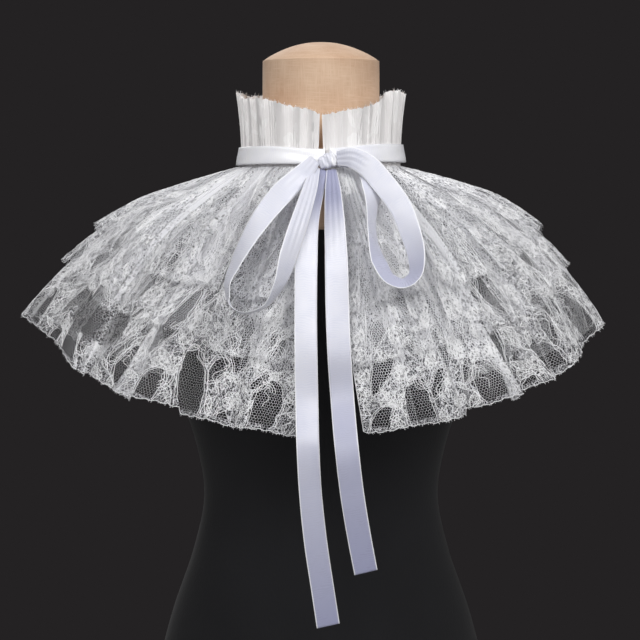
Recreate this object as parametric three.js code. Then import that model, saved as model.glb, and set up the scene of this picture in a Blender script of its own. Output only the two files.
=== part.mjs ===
// Detachable lace collar on a dress form.
//
// A stand-up gathered neck frill and three gathered lace tiers share one neckline seam.
// A satin ribbon lies over the seam and is tied in a bow at the open centre front.
// The collar rests on a limbless dress form: a linen neck with a domed cap over a covered body.
//
// Frame: millimetres, +Z up, the wearer's front faces -Y, origin at the centre of the form's
// flat base. Angles round the neck are degrees from the centre front, growing towards +X.

import * as THREE from 'three';
import { RoundedBoxGeometry } from 'three/addons/geometries/RoundedBoxGeometry.js';

// ---------------------------------------------------------------- driving dimensions

const NECKLINE = { halfWidth: 76, halfDepth: 72, z: 595 };
const LACE = 1.3; // wall of every lace piece, measured along the cape's own normal
const SEAM = 0.45; // gap kept between pieces that are sewn together

// How steeply the cape falls from the seam, in degrees below level, `down` mm along the cloth.
const CAPE_SLOPE = [
  { down: 0, side: 18, front: 55 },
  { down: 90, side: 22, front: 62 },
  { down: 110, side: 32, front: 65 },
  { down: 150, side: 39, front: 68 },
  { down: 190, side: 46, front: 72 },
  { down: 240, side: 53, front: 76 },
  { down: 280, side: 57, front: 79 },
];
const SIDE_TO_FRONT = 0.8; // power of the cosine that blends the side slope into the front one
const RIDGE_ROUND = 0.17; // how softly the two meet over the shoulders, 0 for a sharp ridge
const LEFT_SHOULDER_SAG = 9; // degrees more that the hem falls over the wearer's left shoulder
const CAPE_STEP = 5; // mm along the cloth between two samples of the slope

// The open centre front: degrees from the middle to each front edge.
const FRONT_EDGE = [
  { down: 0, right: 4, left: 2 },
  { down: 150, right: 8, left: 4.5 },
  { down: 280, right: 13, left: 7 },
];

// The main folds, shared by all tiers: place round the strip, half width and height share.
const FOLDS = [
  { at: 10, half: 9, height: 0.75 },
  { at: 24, half: 7, height: 1.0 },
  { at: 37, half: 7, height: 0.6 },
  { at: 50, half: 8, height: 0.9 },
  { at: 63, half: 7, height: 1.0 },
  { at: 76, half: 7, height: 0.55 },
  { at: 89, half: 7, height: 0.95 },
  { at: 103, half: 8, height: 0.7 },
  { at: 117, half: 7, height: 1.0 },
  { at: 130, half: 7, height: 0.65 },
  { at: 144, half: 8, height: 0.9 },
  { at: 158, half: 7, height: 0.8 },
  { at: 171, half: 7, height: 1.0 },
  { at: 185, half: 8, height: 0.7 },
  { at: 199, half: 7, height: 0.95 },
  { at: 212, half: 7, height: 0.6 },
  { at: 226, half: 8, height: 1.0 },
  { at: 240, half: 7, height: 0.75 },
  { at: 253, half: 7, height: 0.9 },
  { at: 266, half: 7, height: 0.6 },
  { at: 279, half: 7, height: 1.0 },
  { at: 292, half: 8, height: 0.85 },
  { at: 306, half: 7, height: 0.65 },
  { at: 319, half: 7, height: 1.0 },
  { at: 332, half: 7, height: 0.7 },
  { at: 347, half: 9, height: 0.9 },
];
const FOLD_HEIGHT = 15; // of the deepest fold, where the cloth is FOLD_AT mm from the seam
const FOLD_AT = 280;
const FOLD_GROWTH = 1.2; // power with which folds open from the seam down

// Each tier lies on the one before it. `puff` is how much further its own slow waves stand out
// at its hem, and `waves` how many there are round the strip.
const TIERS = [
  { name: 'tier_bottom', length: 272, puff: 0, waves: 0, shift: 0 },
  { name: 'tier_middle', length: 204, puff: 4.5, waves: 9, shift: 1.1 },
  { name: 'tier_top', length: 155, puff: 5, waves: 11, shift: 2.3 },
];
const TIER_GAP = { seam: SEAM, growth: 1.5, over: 155 }; // air between two tiers
const CAPE_ROWS = [0, 26, 60, 105, 155, 204, 272]; // mm down, shared by the tiers
const SIDE_LIFT = 9; // mm that the longest tier is shorter over the shoulders
const CAPE_COLUMNS = 130;

const FRILL = {
  height: { side: 70, front: 47, back: 75 },
  rows: 3,
  columns: 120,
  gathers: 30,
  unevenness: { share: 0.35, waves: 5 }, // share of a gather's spacing, and times round
  ease: 1.5, // mm outside the neckline
  flare: 2,
  depth: { seam: 1.0, top: 4.5 },
  swell: 1.3, // room for the gathers to open behind the neck ribbon
  growth: 2.2,
  opening: { seam: 3.5, top: 1.0 }, // degrees each side of the centre front
};

const RIBBON = { width: 22, thickness: 1.2, lift: 1.6 };
const NECK_RIBBON = { width: 17.5, z: 609.5, roll: 1.5, dip: 3, end: 1, steps: 60 };
const KNOT = { x: 6, z: 602, width: 17, height: 15, depth: 13, radius: 5 };

// The ribbon's route: x and z of its middle, share of its full width, turn of its face away
// from the front in degrees, and `out`, the mm it stands off the lace beyond the least lift.
const LOOP_LEFT = [
  { x: -6.1, z: 603.2, share: 0.4, turn: 0, y: -87.5 },
  { x: -17, z: 590, share: 0.8, turn: 3, out: 12 },
  { x: -35, z: 573, share: 1, turn: 8, out: 12 },
  { x: -52, z: 553, share: 1, turn: 24, out: 9 },
  { x: -67, z: 530, share: 1, turn: 44, out: 5 },
  { x: -79, z: 507, share: 1, turn: 62, out: 3 },
  { x: -87, z: 485, share: 1, turn: 72, out: 2 },
  { x: -83, z: 467, share: 1, turn: 72, out: 2 },
  { x: -67, z: 461, share: 1, turn: 70, out: 3 },
  { x: -50, z: 468, share: 1, turn: 64, out: 4 },
  { x: -39, z: 486, share: 1, turn: 54, out: 4 },
  { x: -31, z: 510, share: 1, turn: 42, out: 7 },
  { x: -24, z: 532, share: 0.9, turn: 32, out: 11 },
  { x: -16, z: 557, share: 0.75, turn: 20, out: 13 },
  { x: -10, z: 577, share: 0.55, turn: 8, out: 12 },
  { x: -5.6, z: 596, share: 0.3, turn: 0, y: -88 },
];
const LOOP_RIGHT = [
  { x: 15.2, z: 604.5, share: 0.4, turn: 0, y: -88 },
  { x: 29, z: 605, share: 0.85, turn: 2, out: 14 },
  { x: 44, z: 597, share: 1, turn: 4, out: 16 },
  { x: 60, z: 579, share: 1, turn: 8, out: 16 },
  { x: 74, z: 559, share: 1, turn: 12, out: 13 },
  { x: 83, z: 536, share: 1, turn: 24, out: 8 },
  { x: 88.5, z: 513, share: 1, turn: 44, out: 4 },
  { x: 87, z: 496, share: 1, turn: 62, out: 2 },
  { x: 77, z: 488, share: 1, turn: 70, out: 2 },
  { x: 64, z: 492, share: 1, turn: 62, out: 2 },
  { x: 54.5, z: 507, share: 1, turn: 50, out: 1 },
  { x: 49, z: 528, share: 1, turn: 66, out: 0 },
  { x: 47.5, z: 550, share: 1, turn: 66, out: 0 },
  { x: 48, z: 573, share: 1, turn: 40, out: 0 },
  { x: 44, z: 591, share: 0.8, turn: 12, out: 0 },
  { x: 32, z: 599, share: 0.5, turn: 4, out: 0 },
  { x: 15.2, z: 599, share: 0.2, turn: 0, y: -84.5 },
];
// Next to the knot, and below the hem where a tail hangs free, `y` sets the depth instead.
const TAIL_LEFT = [
  { x: 2.8, z: 593.5, share: 0.3, turn: 0, y: -85 },
  { x: -5, z: 572, share: 0.7, turn: -14, out: 0 },
  { x: -11.5, z: 544, share: 0.92, turn: -18, out: 0 },
  { x: -13.8, z: 508, share: 1, turn: -18, out: 0 },
  { x: -14.2, z: 470, share: 1, turn: -18, out: 0 },
  { x: -14, z: 426, share: 1, turn: -16, out: 0 },
  { x: -13.2, z: 382, share: 1, turn: -16, out: 0 },
  { x: -12, z: 340, share: 1, turn: -18, y: -198 },
  { x: -9.6, z: 296, share: 1, turn: -20, y: -198 },
  { x: -4.8, z: 250, share: 1, turn: -18, y: -196 },
  { x: 1.4, z: 208, share: 1, turn: -16, y: -193 },
  { x: 6.6, z: 173, share: 1, turn: -14, y: -190 },
];
const TAIL_RIGHT = [
  { x: 10.2, z: 593.7, share: 0.3, turn: 0, y: -86 },
  { x: 11.2, z: 572, share: 0.7, turn: 22, out: 0 },
  { x: 12.6, z: 544, share: 0.95, turn: 24, out: 0 },
  { x: 14.2, z: 508, share: 1, turn: 12, out: 0 },
  { x: 15, z: 470, share: 1, turn: 4, out: 0 },
  { x: 16.6, z: 426, share: 1, turn: 2, out: 0 },
  { x: 19.6, z: 382, share: 1, turn: 0, out: 0 },
  { x: 23.2, z: 340, share: 1, turn: -3, y: -199 },
  { x: 28.4, z: 296, share: 1, turn: -5, y: -199 },
  { x: 34.6, z: 258, share: 1, turn: -8, y: -196 },
  { x: 41.2, z: 223, share: 1, turn: -10, y: -193 },
];
const RIBBON_STEP = 9; // mm between two sections of a ribbon
const RIBBON_REACH = 15; // mm of lace looked at on each side of a station
const LACE_SAMPLE = { degrees: 42, degreeStep: 1.5, downStep: 6 }; // the lace that is looked at

// The dress form. The neck's rows run down from the cap to just above the neckline.
const NECK_FORM = [
  { z: 720.3, halfWidth: 14, halfDepth: 13 },
  { z: 717.4, halfWidth: 27, halfDepth: 25.5 },
  { z: 713, halfWidth: 39, halfDepth: 37 },
  { z: 707.5, halfWidth: 50, halfDepth: 47.5 },
  { z: 702.5, halfWidth: 57, halfDepth: 54 },
  { z: 697, halfWidth: 58, halfDepth: 55 },
  { z: 650, halfWidth: 58.3, halfDepth: 55.5 },
  { z: 628, halfWidth: 60, halfDepth: 57 },
  { z: 612, halfWidth: 64.5, halfDepth: 61 },
  { z: 602, halfWidth: 70, halfDepth: 66 },
];
const CAP_TOP = 721.3;
// The body's rows run down from the shoulders to the base.
const BODY_FORM = [
  { z: 500, halfWidth: 174, front: 115, back: 98 },
  { z: 468, halfWidth: 163, front: 123, back: 97 },
  { z: 428, halfWidth: 157, front: 127, back: 94 },
  { z: 378, halfWidth: 143, front: 116, back: 89 },
  { z: 322, halfWidth: 125, front: 98, back: 85 },
  { z: 270, halfWidth: 117, front: 91, back: 86 },
  { z: 215, halfWidth: 128, front: 98, back: 97 },
  { z: 150, halfWidth: 150, front: 109, back: 114 },
  { z: 80, halfWidth: 166, front: 115, back: 123 },
  { z: 0, halfWidth: 171, front: 116, back: 124 },
];
const FORM_COLUMNS = 44;
const YOKE = {
  reach: { side: 112, front: 80 }, // how far the shoulders follow the cape, mm down the cloth
  rows: [0, 0.3, 0.62, 1],
  clear: { seam: 0.6, end: 7 }, // mm under the cape
  tipOut: 6, // roundness of the shoulder's end
};
const NECK_SCOOP = { least: 8, front: 66, power: 4 }; // where linen gives way to the cover
const FORM_SEAM = { drop: 0.4, core: 560 };

// ---------------------------------------------------------------- materials

const cloth = (color, roughness) =>
  new THREE.MeshStandardMaterial({ color, roughness, metalness: 0, side: THREE.DoubleSide });
const LACE_WHITE = 0xf2f1f4;
const SATIN_LILAC = 0xe2e2f4;
const LINEN_TAN = 0xb98a5e;
const COVER_BLACK = 0x17171a;

// ---------------------------------------------------------------- small helpers

const radians = THREE.MathUtils.degToRad;
const mix = THREE.MathUtils.lerp;

/** Reads one column of a table whose rows are ordered by `key`, straight between two rows. */
function fromTable(table, key, column, at) {
  const next = table.findIndex((row) => row[key] >= at);
  if (next === 0) return table[0][column];
  if (next < 0) return table[table.length - 1][column];
  const [a, b] = [table[next - 1], table[next]];
  return mix(a[column], b[column], (at - a[key]) / (b[key] - a[key]));
}

/** A level direction, `degrees` round from the centre front. */
function outward(degrees) {
  return new THREE.Vector3(Math.sin(radians(degrees)), -Math.cos(radians(degrees)), 0);
}

/** The radius of an ellipse with these half axes, `degrees` round from the front. */
function ellipseRadius(halfWidth, halfDepth, degrees) {
  const angle = radians(degrees);
  return 1 / Math.hypot(Math.sin(angle) / halfWidth, Math.cos(angle) / halfDepth);
}

/** Turns all faces of a closed geometry outwards and gives it flat corners' normals. */
function closedSolid(positions, triangles) {
  const at = (i) => new THREE.Vector3().fromArray(positions, 3 * i);
  let volume = 0;
  for (let t = 0; t < triangles.length; t += 3) {
    const [a, b, c] = [at(triangles[t]), at(triangles[t + 1]), at(triangles[t + 2])];
    volume += a.dot(b.cross(c));
  }
  if (volume < 0) triangles.reverse();
  const geometry = new THREE.BufferGeometry();
  geometry.setAttribute('position', new THREE.Float32BufferAttribute(positions, 3));
  geometry.setIndex(triangles);
  geometry.computeVertexNormals();
  return geometry;
}

/** A closed wall: place(column, row, face) gives a point of the inner (0) or outer (1) face. */
function closedWall(columns, rows, place) {
  const positions = [];
  const stride = rows + 1;
  const faceSize = (columns + 1) * stride;
  const index = (column, row, face) => face * faceSize + column * stride + row;
  for (const face of [0, 1]) {
    for (let column = 0; column <= columns; column += 1) {
      for (let row = 0; row <= rows; row += 1) positions.push(...place(column, row, face).toArray());
    }
  }
  const triangles = [];
  const quad = (a, b, c, d) => triangles.push(a, b, c, a, c, d);
  for (let column = 0; column < columns; column += 1) {
    for (let row = 0; row < rows; row += 1) {
      const corners = (face) => [
        index(column, row, face),
        index(column + 1, row, face),
        index(column + 1, row + 1, face),
        index(column, row + 1, face),
      ];
      quad(...corners(1));
      const [a, b, c, d] = corners(0);
      quad(a, d, c, b);
    }
  }
  const rim = (from, to) =>
    quad(index(...from, 0), index(...to, 0), index(...to, 1), index(...from, 1));
  for (let column = 0; column < columns; column += 1) {
    rim([column, 0], [column + 1, 0]);
    rim([column + 1, rows], [column, rows]);
  }
  for (let row = 0; row < rows; row += 1) {
    rim([0, row + 1], [0, row]);
    rim([columns, row], [columns, row + 1]);
  }
  return closedSolid(positions, triangles);
}

/** A closed solid through rings of equal count, with a fan to a middle point at each end. */
function lofted(rings, firstMiddle, lastMiddle) {
  const count = rings[0].length;
  const positions = rings.flat().flatMap((point) => point.toArray());
  const first = positions.length / 3;
  positions.push(...firstMiddle.toArray(), ...lastMiddle.toArray());
  const triangles = [];
  const lastRing = (rings.length - 1) * count;
  for (let k = 0; k < count; k += 1) {
    const next = (k + 1) % count;
    for (let ring = 0; ring < rings.length - 1; ring += 1) {
      const [upper, lower] = [ring * count, (ring + 1) * count];
      triangles.push(upper + k, lower + k, lower + next, upper + k, lower + next, upper + next);
    }
    triangles.push(first, k, next);
    triangles.push(first + 1, lastRing + next, lastRing + k);
  }
  return closedSolid(positions, triangles);
}

function named(name, geometry, material) {
  const mesh = new THREE.Mesh(geometry, material);
  mesh.name = name;
  return mesh;
}

// ---------------------------------------------------------------- the cape's lie

/** The cape's fall in degrees below level, `down` mm from the seam at one angle round it. */
function capeFall(degrees, down) {
  const rounded = (cosine) => Math.hypot(cosine, RIDGE_ROUND) - RIDGE_ROUND;
  const frontShare = (rounded(Math.cos(radians(degrees))) / rounded(1)) ** SIDE_TO_FRONT;
  const side = fromTable(CAPE_SLOPE, 'down', 'side', down);
  const front = fromTable(CAPE_SLOPE, 'down', 'front', down);
  const sag = LEFT_SHOULDER_SAG * Math.max(0, Math.sin(radians(degrees))) * (down / FOLD_AT) ** 2;
  return mix(side, front, frontShare) + sag;
}

/** A point of the smooth cape under all folds, and the way its cloth faces. */
function capeBase(degrees, down) {
  const way = outward(degrees);
  const steps = Math.max(1, Math.ceil(down / CAPE_STEP));
  const step = down / steps;
  let out = ellipseRadius(NECKLINE.halfWidth, NECKLINE.halfDepth, degrees);
  let z = NECKLINE.z;
  for (let k = 0; k < steps; k += 1) {
    const fall = radians(capeFall(degrees, (k + 0.5) * step));
    out += step * Math.cos(fall);
    z -= step * Math.sin(fall);
  }
  const fall = radians(capeFall(degrees, down));
  const normal = way.clone().multiplyScalar(Math.sin(fall)).setZ(Math.cos(fall));
  return { point: way.multiplyScalar(out).setZ(z), normal };
}

/** Height share of the main folds, `along` degrees round the strip. */
function foldShare(along) {
  let share = 0;
  for (const fold of FOLDS) {
    const away = Math.abs(along - fold.at) / fold.half;
    if (away < 1) share += fold.height * 0.5 * (1 + Math.cos(Math.PI * away));
  }
  return share;
}

/** How far one tier's inner face stands off the smooth cape. */
function tierLift(tierIndex, along, down) {
  let lift = FOLD_HEIGHT * foldShare(along) * (down / FOLD_AT) ** FOLD_GROWTH;
  for (const tier of TIERS.slice(1, tierIndex + 1)) {
    const air = TIER_GAP.seam + TIER_GAP.growth * (down / TIER_GAP.over);
    const wave = 0.5 + 0.5 * Math.cos(radians(tier.waves * along) + tier.shift);
    lift += LACE + air + tier.puff * wave * (down / tier.length) ** FOLD_GROWTH;
  }
  return lift;
}

/** Length down the cape of a row that is `down` mm from the seam at the centre front. */
function shortened(degrees, down) {
  const longest = TIERS[0].length;
  return down - SIDE_LIFT * (down / longest) ** 3 * Math.sin(radians(degrees)) ** 2;
}

/** A point of a tier: `along` is its place round the strip in degrees, face 0 inner, 1 outer. */
function tierPoint(tierIndex, along, down, face) {
  const right = fromTable(FRONT_EDGE, 'down', 'right', down);
  const left = fromTable(FRONT_EDGE, 'down', 'left', down);
  const degrees = mix(right, 360 - left, along / 360);
  const base = capeBase(degrees, shortened(degrees, down));
  return base.point.addScaledVector(base.normal, tierLift(tierIndex, along, down) + face * LACE);
}

function tierMesh(tier, tierIndex) {
  const rows = CAPE_ROWS.filter((down) => down <= tier.length);
  const place = (column, row, face) =>
    tierPoint(tierIndex, (360 * column) / CAPE_COLUMNS, rows[row], face);
  return named(tier.name, closedWall(CAPE_COLUMNS, rows.length - 1, place), cloth(LACE_WHITE, 0.85));
}

// ---------------------------------------------------------------- the neck frill

/** Height of the outermost tier's face at the seam, where the frill and the ribbon begin. */
function seamTop(degrees) {
  const outermost = TIERS.length - 1;
  const base = capeBase(degrees, 0);
  return base.point.z + base.normal.z * (tierLift(outermost, 0, 0) + LACE);
}

function frillHeight(degrees) {
  const front = Math.cos(radians(degrees));
  const { side, front: atFront, back } = FRILL.height;
  return front > 0 ? mix(side, atFront, front ** 1.5) : mix(side, back, -front);
}

function frillPoint(column, row, face) {
  const share = row / FRILL.rows;
  const opening = mix(FRILL.opening.seam, FRILL.opening.top, share);
  const along = column / FRILL.columns;
  const degrees = mix(opening, 360 - opening, along);
  const drift = FRILL.unevenness.share * Math.sin(2 * Math.PI * FRILL.unevenness.waves * along);
  const phase = FRILL.gathers * along + drift;
  const gather = 0.5 - 0.5 * Math.cos(2 * Math.PI * phase);
  const depth = mix(FRILL.depth.seam, FRILL.depth.top, share ** FRILL.growth);
  const out = FRILL.ease + FRILL.flare * share ** FRILL.growth + depth * gather + face * LACE;
  const radius = ellipseRadius(NECKLINE.halfWidth, NECKLINE.halfDepth, degrees) + out;
  const z = seamTop(degrees) + SEAM + share * frillHeight(degrees);
  return outward(degrees).multiplyScalar(radius).setZ(z);
}

// ---------------------------------------------------------------- the ribbon

const OUTER_LACE = frontLace();

/** Points of the outer faces near the centre front, which the ribbon lies on. */
function frontLace() {
  const points = [];
  TIERS.forEach((tier, tierIndex) => {
    for (let down = 0; down <= tier.length; down += LACE_SAMPLE.downStep) {
      for (let along = -LACE_SAMPLE.degrees; along <= LACE_SAMPLE.degrees; along += LACE_SAMPLE.degreeStep) {
        points.push(tierPoint(tierIndex, (along + 360) % 360, down, 1));
      }
    }
  });
  return points;
}

/** The furthest forward that the lace comes round one place of the ribbon. */
function laceFront(x, z) {
  const near = OUTER_LACE.filter(
    (point) => Math.abs(point.x - x) < RIBBON_REACH && Math.abs(point.z - z) < RIBBON_REACH,
  );
  const seamFront = -(NECKLINE.halfDepth + ribbonRingOut() + RIBBON.thickness);
  return Math.min(seamFront, ...near.map((point) => point.y));
}

/** How far outside the neckline the neck ribbon's inner face lies. */
function ribbonRingOut() {
  return FRILL.ease + FRILL.depth.seam + FRILL.swell + LACE + SEAM;
}

/** A flat ribbon along a route of stations, as a closed solid of rectangular section. */
function ribbonSolid(route) {
  const middles = route.map((station) => {
    const halfAcross = 0.5 * RIBBON.width * station.share * Math.sin(radians(Math.abs(station.turn)));
    const off = RIBBON.lift + halfAcross + (station.out ?? 0);
    const y = station.y ?? laceFront(station.x, station.z) - off;
    return new THREE.Vector3(station.x, y, station.z);
  });
  const curve = new THREE.CatmullRomCurve3(middles, false, 'centripetal');
  const sections = Math.ceil(curve.getLength() / RIBBON_STEP);
  const rings = [];
  for (let k = 0; k <= sections; k += 1) {
    const t = curve.getUtoTmapping(k / sections);
    const place = t * (route.length - 1);
    const from = Math.min(Math.floor(place), route.length - 2);
    const between = (column) => mix(route[from][column], route[from + 1][column], place - from);
    rings.push(ribbonSection(curve.getPoint(t), curve.getTangent(t), between('share'), between('turn')));
  }
  const middle = (ring) => ring.reduce((sum, p) => sum.add(p), new THREE.Vector3()).divideScalar(4);
  return lofted(rings, middle(rings[0]), middle(rings[rings.length - 1]));
}

/** The four corners of a ribbon's section, its face turned away from the front. */
function ribbonSection(middle, tangent, share, turn) {
  const facing = new THREE.Vector3(0, -1, 0);
  facing.addScaledVector(tangent, -facing.dot(tangent)).normalize();
  const across = new THREE.Vector3().crossVectors(tangent, facing);
  facing.applyAxisAngle(tangent, radians(turn));
  across.applyAxisAngle(tangent, radians(turn));
  const corner = (u, v) =>
    middle
      .clone()
      .addScaledVector(across, 0.5 * u * RIBBON.width * share)
      .addScaledVector(facing, 0.5 * v * RIBBON.thickness);
  return [corner(-1, -1), corner(1, -1), corner(1, 1), corner(-1, 1)];
}

/** The ribbon round the neck, over the foot of the frill. */
function neckRibbonSolid() {
  const place = (column, row, face) => {
    const degrees = mix(NECK_RIBBON.end, 360 - NECK_RIBBON.end, column / NECK_RIBBON.steps);
    const radius = ellipseRadius(NECKLINE.halfWidth, NECKLINE.halfDepth, degrees);
    const out = radius + ribbonRingOut() + face * RIBBON.thickness;
    const atKnot = Math.max(0, Math.cos(radians(degrees))) ** 8;
    const z = NECK_RIBBON.z + NECK_RIBBON.roll * Math.sin(radians(degrees)) - NECK_RIBBON.dip * atKnot;
    const width = NECK_RIBBON.width - NECK_RIBBON.dip * atKnot;
    return outward(degrees).multiplyScalar(out).setZ(z + (0.5 - row) * width);
  };
  return closedWall(NECK_RIBBON.steps, 1, place);
}

/** The knot, a soft block that narrows towards its foot. */
function knotMesh() {
  const block = new RoundedBoxGeometry(KNOT.width, KNOT.depth, KNOT.height, 2, KNOT.radius);
  const back = -(NECKLINE.halfDepth + ribbonRingOut() + RIBBON.thickness + SEAM);
  const mesh = named('bow_knot', block, cloth(SATIN_LILAC, 0.35));
  mesh.position.set(KNOT.x, back - KNOT.depth / 2, KNOT.z);
  return mesh;
}

// ---------------------------------------------------------------- the dress form

/** A point of the shoulders, a little under the cape that rests on them. */
function yokePoint(degrees, down, share) {
  const base = capeBase(degrees, down);
  return base.point.addScaledVector(base.normal, -mix(YOKE.clear.seam, YOKE.clear.end, share));
}

const formAngles = () => Array.from({ length: FORM_COLUMNS }, (_, k) => (360 * k) / FORM_COLUMNS);

function scoopDown(degrees) {
  const front = Math.max(0, Math.cos(radians(degrees)));
  return NECK_SCOOP.least + (NECK_SCOOP.front - NECK_SCOOP.least) * front ** NECK_SCOOP.power;
}

function yokeReach(degrees) {
  return mix(YOKE.reach.front, YOKE.reach.side, Math.sin(radians(degrees)) ** 2);
}

/** The yoke's point where the linen neck ends and the cover begins. */
function scoopPoint(degrees) {
  const down = scoopDown(degrees);
  return yokePoint(degrees, down, down / yokeReach(degrees));
}

function formNeckSolid() {
  const rings = NECK_FORM.map((row) =>
    formAngles().map((degrees) =>
      outward(degrees)
        .multiplyScalar(ellipseRadius(row.halfWidth, row.halfDepth, degrees))
        .setZ(row.z),
    ),
  );
  for (const share of [0, 0.5]) {
    rings.push(
      formAngles().map((degrees) => {
        const down = share * scoopDown(degrees);
        return yokePoint(degrees, down, down / yokeReach(degrees));
      }),
    );
  }
  rings.push(formAngles().map(scoopPoint));
  return lofted(rings, new THREE.Vector3(0, 0, CAP_TOP), new THREE.Vector3(0, 0, FORM_SEAM.core));
}

function formBodySolid() {
  const rings = YOKE.rows.map((share) =>
    formAngles().map((degrees) => {
      const down = mix(scoopDown(degrees), yokeReach(degrees), share);
      const point = yokePoint(degrees, down, down / yokeReach(degrees));
      return share === 0 ? point.setZ(point.z - FORM_SEAM.drop) : point;
    }),
  );
  const lower = BODY_FORM.map((row) =>
    formAngles().map((degrees) => {
      const way = outward(degrees);
      const depth = way.y < 0 ? row.front : row.back;
      return new THREE.Vector3(row.halfWidth * way.x, depth * way.y, row.z);
    }),
  );
  const shoulderEnd = formAngles().map((degrees, k) => {
    const point = rings[rings.length - 1][k].clone().lerp(lower[0][k], 0.5);
    return point.addScaledVector(outward(degrees), YOKE.tipOut * Math.sin(radians(degrees)) ** 2);
  });
  const foot = BODY_FORM[BODY_FORM.length - 1].z;
  return lofted(
    [...rings, shoulderEnd, ...lower],
    new THREE.Vector3(0, 0, FORM_SEAM.core - FORM_SEAM.drop),
    new THREE.Vector3(0, 0, foot),
  );
}

// ---------------------------------------------------------------- the object

const collar = new THREE.Group();
collar.add(...TIERS.map(tierMesh));
collar.add(named('neck_frill', closedWall(FRILL.columns, FRILL.rows, frillPoint), cloth(LACE_WHITE, 0.85)));
collar.add(named('neck_ribbon', neckRibbonSolid(), cloth(SATIN_LILAC, 0.35)));
collar.add(knotMesh());
collar.add(named('bow_loop_left', ribbonSolid(LOOP_LEFT), cloth(SATIN_LILAC, 0.35)));
collar.add(named('bow_loop_right', ribbonSolid(LOOP_RIGHT), cloth(SATIN_LILAC, 0.35)));
collar.add(named('ribbon_tail_left', ribbonSolid(TAIL_LEFT), cloth(SATIN_LILAC, 0.35)));
collar.add(named('ribbon_tail_right', ribbonSolid(TAIL_RIGHT), cloth(SATIN_LILAC, 0.35)));

const dressForm = new THREE.Group();
dressForm.add(named('form_neck', formNeckSolid(), cloth(LINEN_TAN, 0.9)));
dressForm.add(named('form_body', formBodySolid(), cloth(COVER_BLACK, 0.95)));

const part = new THREE.Group();
part.add(collar, dressForm);

export default part;
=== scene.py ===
# %% [markdown]
# # A detachable lace collar on a dress form
#
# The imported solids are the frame: they say where every piece lies. This lesson dresses them in
# lace, satin ribbon, linen and jersey. All lengths below are millimetres until a mesh is written,
# because that is how a maker measures; Blender itself is given metres.

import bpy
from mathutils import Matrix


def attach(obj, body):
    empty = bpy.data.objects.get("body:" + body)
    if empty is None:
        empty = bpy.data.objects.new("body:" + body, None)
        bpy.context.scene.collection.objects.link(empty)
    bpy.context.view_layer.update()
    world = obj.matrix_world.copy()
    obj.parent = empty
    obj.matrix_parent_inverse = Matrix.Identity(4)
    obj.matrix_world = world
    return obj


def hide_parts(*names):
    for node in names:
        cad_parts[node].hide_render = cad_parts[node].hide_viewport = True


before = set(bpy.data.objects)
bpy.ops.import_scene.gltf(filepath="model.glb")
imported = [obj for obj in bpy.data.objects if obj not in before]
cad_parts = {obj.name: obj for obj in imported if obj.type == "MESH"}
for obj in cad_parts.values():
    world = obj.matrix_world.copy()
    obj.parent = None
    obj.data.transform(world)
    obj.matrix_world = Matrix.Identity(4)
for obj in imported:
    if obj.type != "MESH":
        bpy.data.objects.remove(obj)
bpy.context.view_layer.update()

# %% [markdown]
# ## The camera
#
# A collar is shown straight on, from a little above, with a long lens that keeps the tiers flat
# and does not stretch the nearer ribbon. The distance and the height of the target are set in
# millimetres; the lens follows from the wish that one pixel of a 640 pixel image be one
# millimetre at the middle of the form.

# %% Camera
import math

import bpy

MM = 0.001
CAMERA = {"distance": 2200, "elevation": 3, "target": (-1, 0, 445), "sensor": 36, "view": 640}

camera_data = bpy.data.cameras.new("camera")
camera_data.sensor_width = CAMERA["sensor"]
camera_data.lens = CAMERA["sensor"] * CAMERA["distance"] / CAMERA["view"]
camera = bpy.data.objects.new("camera", camera_data)
bpy.context.collection.objects.link(camera)
camera_rise = math.radians(CAMERA["elevation"])
camera.location = (
    MM * CAMERA["target"][0],
    -MM * CAMERA["distance"] * math.cos(camera_rise),
    MM * (CAMERA["target"][2] + CAMERA["distance"] * math.sin(camera_rise)),
)
camera.rotation_euler = (math.pi / 2 - camera_rise, 0, 0)
bpy.context.scene.camera = camera
print("lens, mm:", round(camera_data.lens, 2))

# %% [markdown]
# ## Colours and nodes
#
# Colours are picked as sRGB hex values, the way a dyer's card is scanned, and one function turns
# them to the linear light that Blender works in. Another small function adds a node, with its
# settings and whatever feeds its sockets, so that a material reads as a list of steps. The last
# step hands the colour, bump and gloss to the shader.

# %% Helpers for materials
def srgb(text):
    """The linear colour of a hex value such as "f2f1f4"."""
    parts = [int(text[k : k + 2], 16) / 255 for k in (0, 2, 4)]
    linear = [p / 12.92 if p <= 0.04045 else ((p + 0.055) / 1.055) ** 2.4 for p in parts]
    return (*linear, 1.0)


def node(tree, kind, inputs=None, **settings):
    """Adds a node. `inputs` gives its sockets a value, or the socket or node that feeds them."""
    made = tree.nodes.new("ShaderNode" + kind)
    for name, value in settings.items():
        setattr(made, name, value)
    for name, value in (inputs or {}).items():
        if isinstance(value, bpy.types.Node):
            value = value.outputs[0]
        if isinstance(value, bpy.types.NodeSocket):
            tree.links.new(value, made.inputs[name])
        else:
            made.inputs[name].default_value = value
    return made


def new_material(name):
    """An empty material and its node tree."""
    material = bpy.data.materials.new(name)
    material.use_nodes = True
    material.node_tree.nodes.clear()
    return material, material.node_tree


def shade_by(tree, inputs):
    """Ends a material with its Principled shader, fed by `inputs`."""
    shader = node(tree, "BsdfPrincipled", inputs)
    node(tree, "OutputMaterial", {"Surface": shader})


# %% [markdown]
# ## A surface from a grid
#
# Cloth, ribbon and the form's skin are all one kind of surface: so many columns along it, so many
# rows down it. Each starts as Blender's own grid, whose vertices are then moved to where the
# piece has them. The place of every vertex comes from arrays, because a lace tier has tens of
# thousands of them.

# %% Helper for surfaces
import bmesh
import numpy as np


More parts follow.
